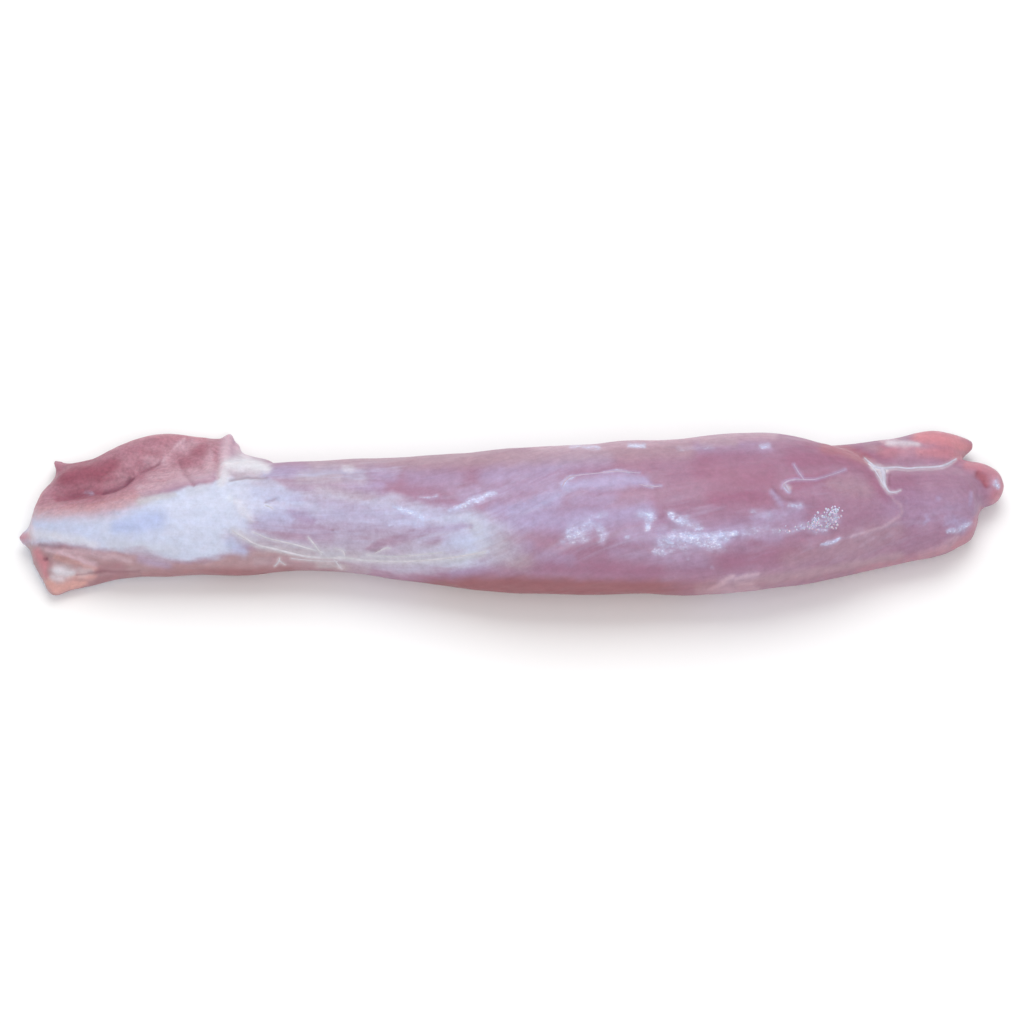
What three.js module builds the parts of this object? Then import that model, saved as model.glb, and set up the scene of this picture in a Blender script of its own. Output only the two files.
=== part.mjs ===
// A raw pork tenderloin: one long muscle lying on its flattened underside, with the loose pieces that
// grow from it. Millimetres, +X along the muscle towards its blunt end, +Y to the back, +Z up.
// The origin is under the middle of the piece, on the plane it rests on.
//
// The meat is first a field: a function of a point that is negative inside it and positive outside.
// Each muscle is an oval section carried along X. The fields are joined with soft unions, which leave
// the rounded valleys that meat has where two muscles meet, and the surface is then netted into faces.

import * as THREE from "three";

// ---- Driving dimensions ----------------------------------------------------------------------

// The grid that nets the surface: it is closer along X at the two detailed ends than over the belly.
const NET_REACH = { x: [-177.8, 176.5], y: [-39.6, 45], z: [-3.9, 45] };
const NET_STEP = { x: 3.3, y: 3, z: 2.7 };
const BELLY = { from: -75, to: 105, step: 6.5 };
const MEAT_COLOUR = 0xae8296;
const MEAT_ROUGHNESS = 0.38;

const REST_ROUNDING = 3.5; // how softly the sides turn in to the flat underside

// Sections of the main muscle, from the tendon end on the left to the blunt end on the right:
// where the section is, its middle, and its half sizes across and up. The flat underside cuts the
// ovals, so each reaches a little below it.
const MAIN_MUSCLE = {
  stations: [
    { x: -164, y: -3.8, z: 5, across: 8.5, up: 9 },
    { x: -155, y: -4.7, z: 7, across: 12.2, up: 12 },
    { x: -138, y: -5.2, z: 9.5, across: 15, up: 14.3 },
    { x: -118, y: -4.2, z: 11, across: 16.8, up: 16 },
    { x: -93, y: -1.5, z: 12, across: 19.5, up: 17 },
    { x: -62, y: -0.5, z: 13, across: 19.5, up: 17.5 },
    { x: -28, y: -2.5, z: 14.5, across: 23, up: 19.5 },
    { x: 3, y: -4.5, z: 16.5, across: 26, up: 21.5 },
    { x: 44, y: -3.5, z: 17.5, across: 27.5, up: 22.5 },
    { x: 82, y: -1.1, z: 16.5, across: 28.8, up: 22.3 },
    { x: 94, y: 0, z: 16, across: 27.5, up: 21.5 },
    { x: 106, y: 0.3, z: 15, across: 25.5, up: 20.5 },
    { x: 115, y: 0.4, z: 14, across: 23, up: 19.2 },
    { x: 124, y: 0.7, z: 12.5, across: 20, up: 17.5 },
    { x: 137, y: 1.4, z: 10.5, across: 17.2, up: 14.5 },
    { x: 150, y: 4, z: 9.3, across: 16.2, up: 13.2 },
    { x: 157.5, y: 7.1, z: 8, across: 13.7, up: 11.5 },
  ],
  startCap: 2.5,
  endCap: 5,
};

// The thin flap of red meat that spreads behind the tendon end.
const BACK_FLAP = {
  stations: [
    { x: -163, y: 8.5, z: 3, across: 5.6, up: 6 },
    { x: -159, y: 12, z: 3, across: 8, up: 7 },
    { x: -155.5, y: 14, z: 3, across: 10, up: 8.2 },
    { x: -147, y: 14.6, z: 3.8, across: 11.4, up: 9.3 },
    { x: -137, y: 17, z: 4.3, across: 14.3, up: 11 },
    { x: -122, y: 19.8, z: 4.5, across: 16.5, up: 11 },
    { x: -110, y: 19.6, z: 4.5, across: 15.8, up: 11 },
    { x: -100, y: 19.5, z: 4, across: 14, up: 10 },
    { x: -94, y: 18, z: 3.5, across: 12, up: 8.5 },
    { x: -86, y: 17.4, z: 3, across: 9.8, up: 7.3 },
  ],
  startCap: 1.5,
  endCap: 5,
};

// The fatty heel in front of the tendon end.
const HEEL = {
  stations: [
    { x: -163, y: -11.8, z: 3, across: 5.8, up: 6 },
    { x: -158, y: -17.6, z: 3, across: 8.2, up: 7 },
    { x: -152, y: -18, z: 3, across: 6.5, up: 6.5 },
    { x: -140, y: -16, z: 3, across: 5.5, up: 6 },
    { x: -131, y: -14, z: 3, across: 4.5, up: 5 },
  ],
  startCap: 2,
  endCap: 4,
};

// The narrow side muscle that runs along the back of the blunt end, ending in a free tip.
const SIDE_STRIP = {
  stations: [
    { x: 104, y: 18.5, z: 9, across: 8.5, up: 9.5 },
    { x: 113, y: 20.2, z: 9, across: 8.8, up: 9.5 },
    { x: 123, y: 21.8, z: 9.5, across: 8.4, up: 9 },
    { x: 136, y: 23.5, z: 9, across: 9, up: 9 },
    { x: 145.5, y: 25.6, z: 8.5, across: 9.8, up: 9.4 },
    { x: 153, y: 27, z: 7.5, across: 8, up: 8.4 },
    { x: 157.6, y: 30.1, z: 6.5, across: 4.5, up: 5.2 },
    { x: 160.9, y: 32.4, z: 5, across: 2.4, up: 3.1 },
  ],
  startCap: 9,
  endCap: 2.2,
};

// Small lobes, as ovals: middle, half sizes, and how softly each runs into the meat round it.
const LOBES = [
  { name: "end knob", at: [163.2, 15.2, 7.3], half: [8.9, 7.9, 7.2], blend: 4 },
  { name: "knob root", at: [155, 13.6, 8], half: [11.5, 8.4, 8], blend: 5 },
  { name: "tendon nub", at: [-167.3, -4.9, 5], half: [4.8, 3.2, 3.3], blend: 2.5 },
  { name: "flap point", at: [-157.8, 23.8, 4], half: [2.6, 4, 3], blend: 2 },
  { name: "pulled tag", at: [-98.9, 32.5, 5], half: [3, 4.7, 3.2], blend: 3 },
  { name: "fat lump", at: [-92, 13.5, 16.8], half: [8, 4.2, 4.2], blend: 3 },
];

// How softly each muscle runs into the main one.
const FLAP_BLEND = 11;
const HEEL_BLEND = 4;
const STRIP_BLEND = 3.5;

// Slow swellings of the whole surface, so that no stretch of it is a plain tube.
const SWELLINGS = [
  { height: 0.3, lengthX: 71, lengthAcross: 46, turn: 0.4 },
  { height: 0.25, lengthX: 43, lengthAcross: 29, turn: 2.1 },
  { height: 0.2, lengthX: 27, lengthAcross: 21, turn: 4.4 },
];

// Creases on the upper side, as points in plan, with their depth and half width.
const CREASES = [
  { path: [[-154, 8], [-143, 9], [-133, 16], [-122, 22], [-113, 28]], depth: 2, width: 3.6 },
  { path: [[-116, 24], [-112, 17], [-109, 12]], depth: 1.2, width: 3 },
  { path: [[-96, 9.5], [-90, 10], [-85, 10]], depth: 1, width: 2.6 },
  { path: [[154, 19], [158, 14], [163, 9]], depth: 1, width: 2.6 },
];

// ---- Fields ----------------------------------------------------------------------------------

// A soft union: within `blend` of each other the two surfaces run together in a rounded valley.
function join(a, b, blend) {
  const near = Math.max(blend - Math.abs(a - b), 0) / blend;
  return Math.min(a, b) - near * near * blend * 0.25;
}

// A soft cut keeps what is inside both fields.
function trim(a, b, blend) {
  return -join(-a, -b, blend);
}

// An oval section carried along X through its stations, with a rounded cap at each end.
function muscleField({ stations, startCap, endCap }) {
  const places = stations.map((s) => s.x);
  const sizes = stations.flatMap((s) => [s.y, s.z, s.across, s.up]);
  const section = new THREE.CubicInterpolant(places, sizes, 4);
  const first = places[0];
  const last = places[places.length - 1];
  return (p) => {
    const [y, z, across, up] = section.evaluate(THREE.MathUtils.clamp(p.x, first, last));
    const past = Math.max((first - p.x) / startCap, (p.x - last) / endCap, 0);
    const reach = Math.hypot(past, (p.y - y) / across, (p.z - z) / up);
    return (reach - 1) * Math.min(across, up);
  };
}

function lobeField({ at, half }) {
  return (p) => {
    const reach = Math.hypot(
      (p.x - at[0]) / half[0],
      (p.y - at[1]) / half[1],
      (p.z - at[2]) / half[2],
    );
    return (reach - 1) * Math.min(...half);
  };
}

// Distance in plan from a point to a path of straight stretches.
function planDistance(p, path) {
  let nearest = Infinity;
  for (let i = 1; i < path.length; i += 1) {
    const [ax, ay] = path[i - 1];
    const [bx, by] = path[i];
    const along = ((p.x - ax) * (bx - ax) + (p.y - ay) * (by - ay)) / ((bx - ax) ** 2 + (by - ay) ** 2);
    const t = THREE.MathUtils.clamp(along, 0, 1);
    nearest = Math.min(nearest, Math.hypot(p.x - ax - t * (bx - ax), p.y - ay - t * (by - ay)));
  }
  return nearest;
}

// How deep the creases press into the surface over a point.
function creaseDepth(p) {
  return CREASES.reduce((sum, { path, depth, width }) => {
    const away = planDistance(p, path) / width;
    return sum + depth * Math.exp(-away * away);
  }, 0);
}

function swelling(p) {
  return SWELLINGS.reduce((sum, { height, lengthX, lengthAcross, turn }) => {
    const round = (2 * Math.PI * (p.y + p.z)) / lengthAcross;
    return sum + height * Math.sin((2 * Math.PI * p.x) / lengthX + turn) * Math.cos(round + turn);
  }, 0);
}

const mainMuscle = muscleField(MAIN_MUSCLE);
const backFlap = muscleField(BACK_FLAP);
const heel = muscleField(HEEL);
const sideStrip = muscleField(SIDE_STRIP);
const lobes = LOBES.map((lobe) => ({ field: lobeField(lobe), blend: lobe.blend }));

function meatField(p) {
  let meat = mainMuscle(p);
  meat = join(meat, backFlap(p), FLAP_BLEND);
  meat = join(meat, heel(p), HEEL_BLEND);
  meat = join(meat, sideStrip(p), STRIP_BLEND);
  for (const { field, blend } of lobes) meat = join(meat, field(p), blend);
  meat += creaseDepth(p) - swelling(p);
  return trim(meat, -p.z, REST_ROUNDING);
}

// ---- Netting the surface ---------------------------------------------------------------------

const SLOPE_STEP = 0.05;
const SETTLE_ROUNDS = 4;
const LEAST_SLOPE = 1e-6;
const AXES = [0, 1, 2];
const CORNERS = [0, 1].flatMap((c) => [0, 1].flatMap((b) => [0, 1].map((a) => [a, b, c])));

// Slope of the field at a point, by small steps.
function slopeAt(field, p) {
  const probe = p.clone();
  const slope = new THREE.Vector3();
  for (const axis of ["x", "y", "z"]) {
    probe[axis] = p[axis] + SLOPE_STEP;
    const ahead = field(probe);
    probe[axis] = p[axis] - SLOPE_STEP;
    slope[axis] = (ahead - field(probe)) / (2 * SLOPE_STEP);
    probe[axis] = p[axis];
  }
  return slope;
}

// Moves a point onto the surface where the field is zero, in a few short steps inside its cell.
function settle(field, p, cell) {
  for (let round = 0; round < SETTLE_ROUNDS; round += 1) {
    const slope = slopeAt(field, p);
    const steep = Math.max(slope.lengthSq(), LEAST_SLOPE);
    p.addScaledVector(slope, -field(p) / steep);
  }
  return cell.clampPoint(p, p);
}

// Places of the grid's planes along one axis.
function gridLines([start, end], stepAt) {
  const lines = [start];
  while (lines[lines.length - 1] < end) {
    const last = lines[lines.length - 1];
    lines.push(last + stepAt(last));
  }
  return lines;
}

// A box grid with the field's value at each of its points.
class FieldGrid {
  constructor(field, lines) {
    this.lines = lines;
    this.count = lines.map((places) => places.length);
    this.values = new Float64Array(this.count[0] * this.count[1] * this.count[2]);
    this.eachPoint(0, 0, (at) => {
      this.values[this.index(at)] = field(this.point(at));
    });
  }

  index([i, j, k]) {
    return (k * this.count[1] + j) * this.count[0] + i;
  }

  point(at) {
    return new THREE.Vector3(...at.map((n, axis) => this.lines[axis][n]));
  }

  value(at) {
    return this.values[this.index(at)];
  }

  isInside(at) {
    return this.value(at) < 0;
  }

  // Calls back for each grid point, leaving out some planes at the near and the far sides.
  eachPoint(skipNear, skipFar, call) {
    for (let k = skipNear; k < this.count[2] - skipFar; k += 1)
      for (let j = skipNear; j < this.count[1] - skipFar; j += 1)
        for (let i = skipNear; i < this.count[0] - skipFar; i += 1) call([i, j, k]);
  }
}

const step = (at, by) => at.map((n, axis) => n + by[axis]);
const oneAlong = (axis) => AXES.map((n) => (n === axis ? 1 : 0));

// Of four grid points round a square, true where only the opposite ones are on the same side.
function isPinched(grid, [a, b, c, d]) {
  const inside = [a, b, c, d].map((at) => grid.isInside(at));
  return inside[0] === inside[2] && inside[1] === inside[3] && inside[0] !== inside[1];
}

// Where the surface would pinch to a line on a grid square, the outer point that is nearest to the
// surface joins the inside, until no square is left pinched.
function fillPinches(grid) {
  let filled = 0;
  grid.eachPoint(0, 1, (at) =>
    AXES.forEach((axis) => {
      const u = oneAlong((axis + 1) % 3);
      const v = oneAlong((axis + 2) % 3);
      const square = [at, step(at, u), step(step(at, u), v), step(at, v)];
      if (!isPinched(grid, square)) return;
      const outer = square.filter((point) => !grid.isInside(point));
      outer.sort((one, other) => grid.value(one) - grid.value(other));
      grid.values[grid.index(outer[0])] = -Number.EPSILON;
      filled += 1;
    }),
  );
  if (filled) fillPinches(grid);
}

// The middle of the places where the surface cuts a cell's edges, or nothing if it misses the cell.
function crossingMiddle(grid, at) {
  const cuts = CORNERS.flatMap((near) =>
    AXES.filter((axis) => !near[axis]).flatMap((axis) => {
      const from = step(at, near);
      const to = step(from, oneAlong(axis));
      if (grid.isInside(from) === grid.isInside(to)) return [];
      const share = grid.value(from) / (grid.value(from) - grid.value(to));
      return [grid.point(from).lerp(grid.point(to), share)];
    }),
  );
  const sum = cuts.reduce((total, cut) => total.add(cut), new THREE.Vector3());
  return cuts.length ? sum.divideScalar(cuts.length) : null;
}

// The four cells round the grid edge that starts at a point and runs along an axis.
function cellsRound(at, axis) {
  const u = oneAlong((axis + 1) % 3);
  const v = oneAlong((axis + 2) % 3);
  const back = (n, by) => n.map((value, m) => value - by[m]);
  return [back(back(at, u), v), back(at, v), at, back(at, u)];
}

// Cuts a ring of four vertices into two triangles along its shorter diagonal.
function splitRing([a, b, c, d], positions) {
  const at = (vertex) => new THREE.Vector3().fromArray(positions, 3 * vertex);
  const shorter = at(a).distanceTo(at(c)) <= at(b).distanceTo(at(d));
  return shorter ? [a, b, c, a, c, d] : [a, b, d, b, c, d];
}

// One vertex in each cell of the grid that the surface passes through, and one four-sided face
// across each grid edge that it cuts.
function netSurface(field, lines) {
  const grid = new FieldGrid(field, lines);
  fillPinches(grid);
  const positions = [];
  const vertexOf = new Map();
  grid.eachPoint(0, 1, (at) => {
    const middle = crossingMiddle(grid, at);
    if (!middle) return;
    const cell = new THREE.Box3(grid.point(at), grid.point(step(at, [1, 1, 1])));
    vertexOf.set(grid.index(at), positions.length / 3);
    positions.push(...settle(field, middle, cell).toArray());
  });

  const faces = [];
  grid.eachPoint(1, 1, (at) =>
    AXES.forEach((axis) => {
      const inside = grid.isInside(at);
      if (inside === grid.isInside(step(at, oneAlong(axis)))) return;
      const ring = cellsRound(at, axis).map((cell) => vertexOf.get(grid.index(cell)));
      faces.push(...splitRing(inside ? ring : ring.reverse(), positions));
    }),
  );
  const geometry = new THREE.BufferGeometry();
  geometry.setAttribute("position", new THREE.Float32BufferAttribute(positions, 3));
  geometry.setIndex(faces);
  return geometry;
}

// ---- The part --------------------------------------------------------------------------------

// Puts the origin under the middle of the piece, on the plane that it rests on.
function centreOnRest(geometry) {
  geometry.computeBoundingBox();
  const middle = geometry.boundingBox.getCenter(new THREE.Vector3());
  geometry.translate(-middle.x, -middle.y, 0);
  return geometry;
}

const surface = netSurface(meatField, [
  gridLines(NET_REACH.x, (x) => (x > BELLY.from && x < BELLY.to ? BELLY.step : NET_STEP.x)),
  gridLines(NET_REACH.y, () => NET_STEP.y),
  gridLines(NET_REACH.z, () => NET_STEP.z),
]);
const tenderloin = new THREE.Mesh(
  centreOnRest(surface),
  new THREE.MeshStandardMaterial({ color: MEAT_COLOUR, roughness: MEAT_ROUGHNESS, metalness: 0 }),
);
tenderloin.name = "tenderloin";

const part = new THREE.Group();
part.add(tenderloin);

export default part;
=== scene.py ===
"""A raw pork tenderloin on a pale table.

The meat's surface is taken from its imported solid, made fine and even, and then worked: tissues are
marked on it as attributes, creases and folds are pressed into it, and threads, a seam of fat and beads
of moisture are laid on it. Meshes are in metres, and what is drawn on the meat is written in mm.
"""

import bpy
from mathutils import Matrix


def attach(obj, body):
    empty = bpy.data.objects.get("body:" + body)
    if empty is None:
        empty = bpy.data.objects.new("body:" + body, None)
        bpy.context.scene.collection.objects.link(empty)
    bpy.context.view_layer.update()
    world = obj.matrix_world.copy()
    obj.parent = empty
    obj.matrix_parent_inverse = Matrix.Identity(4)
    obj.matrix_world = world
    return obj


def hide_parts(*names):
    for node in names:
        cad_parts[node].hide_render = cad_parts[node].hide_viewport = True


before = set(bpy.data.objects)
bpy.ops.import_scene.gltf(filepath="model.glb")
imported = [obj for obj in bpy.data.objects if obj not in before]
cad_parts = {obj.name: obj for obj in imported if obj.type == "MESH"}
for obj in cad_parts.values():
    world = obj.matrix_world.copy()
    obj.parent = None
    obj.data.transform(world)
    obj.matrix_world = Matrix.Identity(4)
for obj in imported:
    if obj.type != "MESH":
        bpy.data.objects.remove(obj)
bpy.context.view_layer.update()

import copy
import math

import bmesh
import bpy
import numpy as np
from mathutils import Vector
from mathutils.bvhtree import BVHTree

bl_info = {
    "name": "Raw pork tenderloin",
    "version": (1, 0, 0),
    "blender": (4, 5, 0),
    "location": "View3D > Sidebar > Tenderloin",
    "description": "Builds a raw pork tenderloin with its silverskin, fat, threads and wet film",
    "category": "Add Mesh",
}

MM = 0.001
NODE = "tenderloin"

# ---- The view that the marks are drawn in ------------------------------------------------------

VIEW_RISE = math.radians(60)        # how steeply the camera looks down
VIEW_TARGET = (0.0, -2.65, 15.0)    # mm
VIEW_WIDTH = 352.6                  # mm across the picture at the target
LENS = 120.0
SENSOR = 36.0
VIEW_DISTANCE = VIEW_WIDTH * LENS / SENSOR
VIEW_BACK = np.array((0.0, -math.cos(VIEW_RISE), math.sin(VIEW_RISE)))
VIEW_RIGHT = np.array((1.0, 0.0, 0.0))
VIEW_UP = np.array((0.0, math.sin(VIEW_RISE), math.cos(VIEW_RISE)))


def colour(code):
    """A hex colour as four linear numbers."""
    parts = [int(code[n:n + 2], 16) / 255 for n in (0, 2, 4)]
    return tuple(p / 12.92 if p <= 0.04045 else ((p + 0.055) / 1.055) ** 2.4 for p in parts) + (1.0,)


# ---- Marks -------------------------------------------------------------------------------------
# Marks are drawn on the plane that faces the camera: u to the right and v up, in mm from the
# middle of the view. A mark is its strength and its points, with the half width at each point.

# The upper and lower edges of the silverskin, how soft its upper edge is, and how thick it lies.
SILVER_TOP = ((-172, 0.4), (-159, 1.4), (-150, 3.4), (-142, 5), (-137, 5.6), (-132.5, 6.2), (-124.2, 6.2),
              (-118.5, 6.9), (-112.7, 8.4), (-106.6, 9.2), (-103.5, 9.6), (-100.4, 11.4), (-97, 12.8),
              (-84, 12.4), (-80, 9.8), (-77, 8.2), (-73, 7.2), (-69.3, 7.9), (-64.8, 8.4), (-61.6, 7),
              (-55.3, 5.8), (-48.3, 4.8), (-43, 6.2), (-41.2, 7), (-37.7, 5.1), (-34.2, 3.7), (-28.2, 2.3),
              (-22, 0.8), (-14, 0.4), (-6, -2), (4, -6))
SILVER_FOOT = ((-172, -9.6), (-165, -10.8), (-157, -11.6), (-148, -12.6), (-136, -13.6), (-126, -14.8),
               (-118, -16.8), (-111, -17.4), (-103, -16.4), (-95, -13.6), (-88, -12.4), (-80, -12.6),
               (-70, -14), (-60, -16.4), (-50, -19.2), (-40, -21.4), (-30, -21.8), (-16.8, -19.6),
               (-5.6, -18), (2, -15), (8, -10))
SILVER_SOFT = ((-172, 3), (-130, 3), (-122, 1.6), (-110, 1.1), (-84, 1.2), (-60, 1.6), (-30, 2.2), (-14, 3),
               (4, 5))
SILVER_COVER = ((-172, 0.9), (-160, 0.97), (-97, 1), (-90, 0.84), (-82, 0.58), (-55, 0.48), (-42, 0.5),
                (-28, 0.6), (-16, 0.84), (-10, 0.74), (-5, 0.42), (1, 0.22), (8, 0))
# The lower edge of the flap behind the tendon end, how soft it is, the line under which the sides
# get painted shade, darker and browner towards the underside, and how strong it is.
FLAP_FOOT = ((-172, -0.6), (-160, -0.6), (-150, -0.6), (-140, -0.4), (-130, 3), (-122, 7.2), (-116.5, 10.8),
             (-108, 13), (-101, 14.6), (-95, 20), (-92, 40))
FLAP_SOFT = ((-172, 4.4), (-150, 4.2), (-136, 5), (-126, 4.6), (-118, 2.8), (-92, 2.2))
UNDER_SHADE_LINE = ((-172, -34), (-150, -25), (-130, -20.6), (-118, -19), (-95, -18.8), (-80, -19), (-62, -20),
              (-52, -23), (-40, -24.4), (-28, -23.4), (-8, -22), (20, -22.8), (50, -23.4), (80, -23.4),
              (100, -21.4), (120, -18), (150, -11.5), (165, -2))
UNDER_SHADE_COVER = ((-172, 0.55), (-112, 0.5), (-98, 0.8), (-70, 0.85), (-54, 0.7), (-40, 0.6), (-26, 1),
              (50, 0.95), (60, 0.6), (74, 0.2), (165, 0.3))

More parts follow.
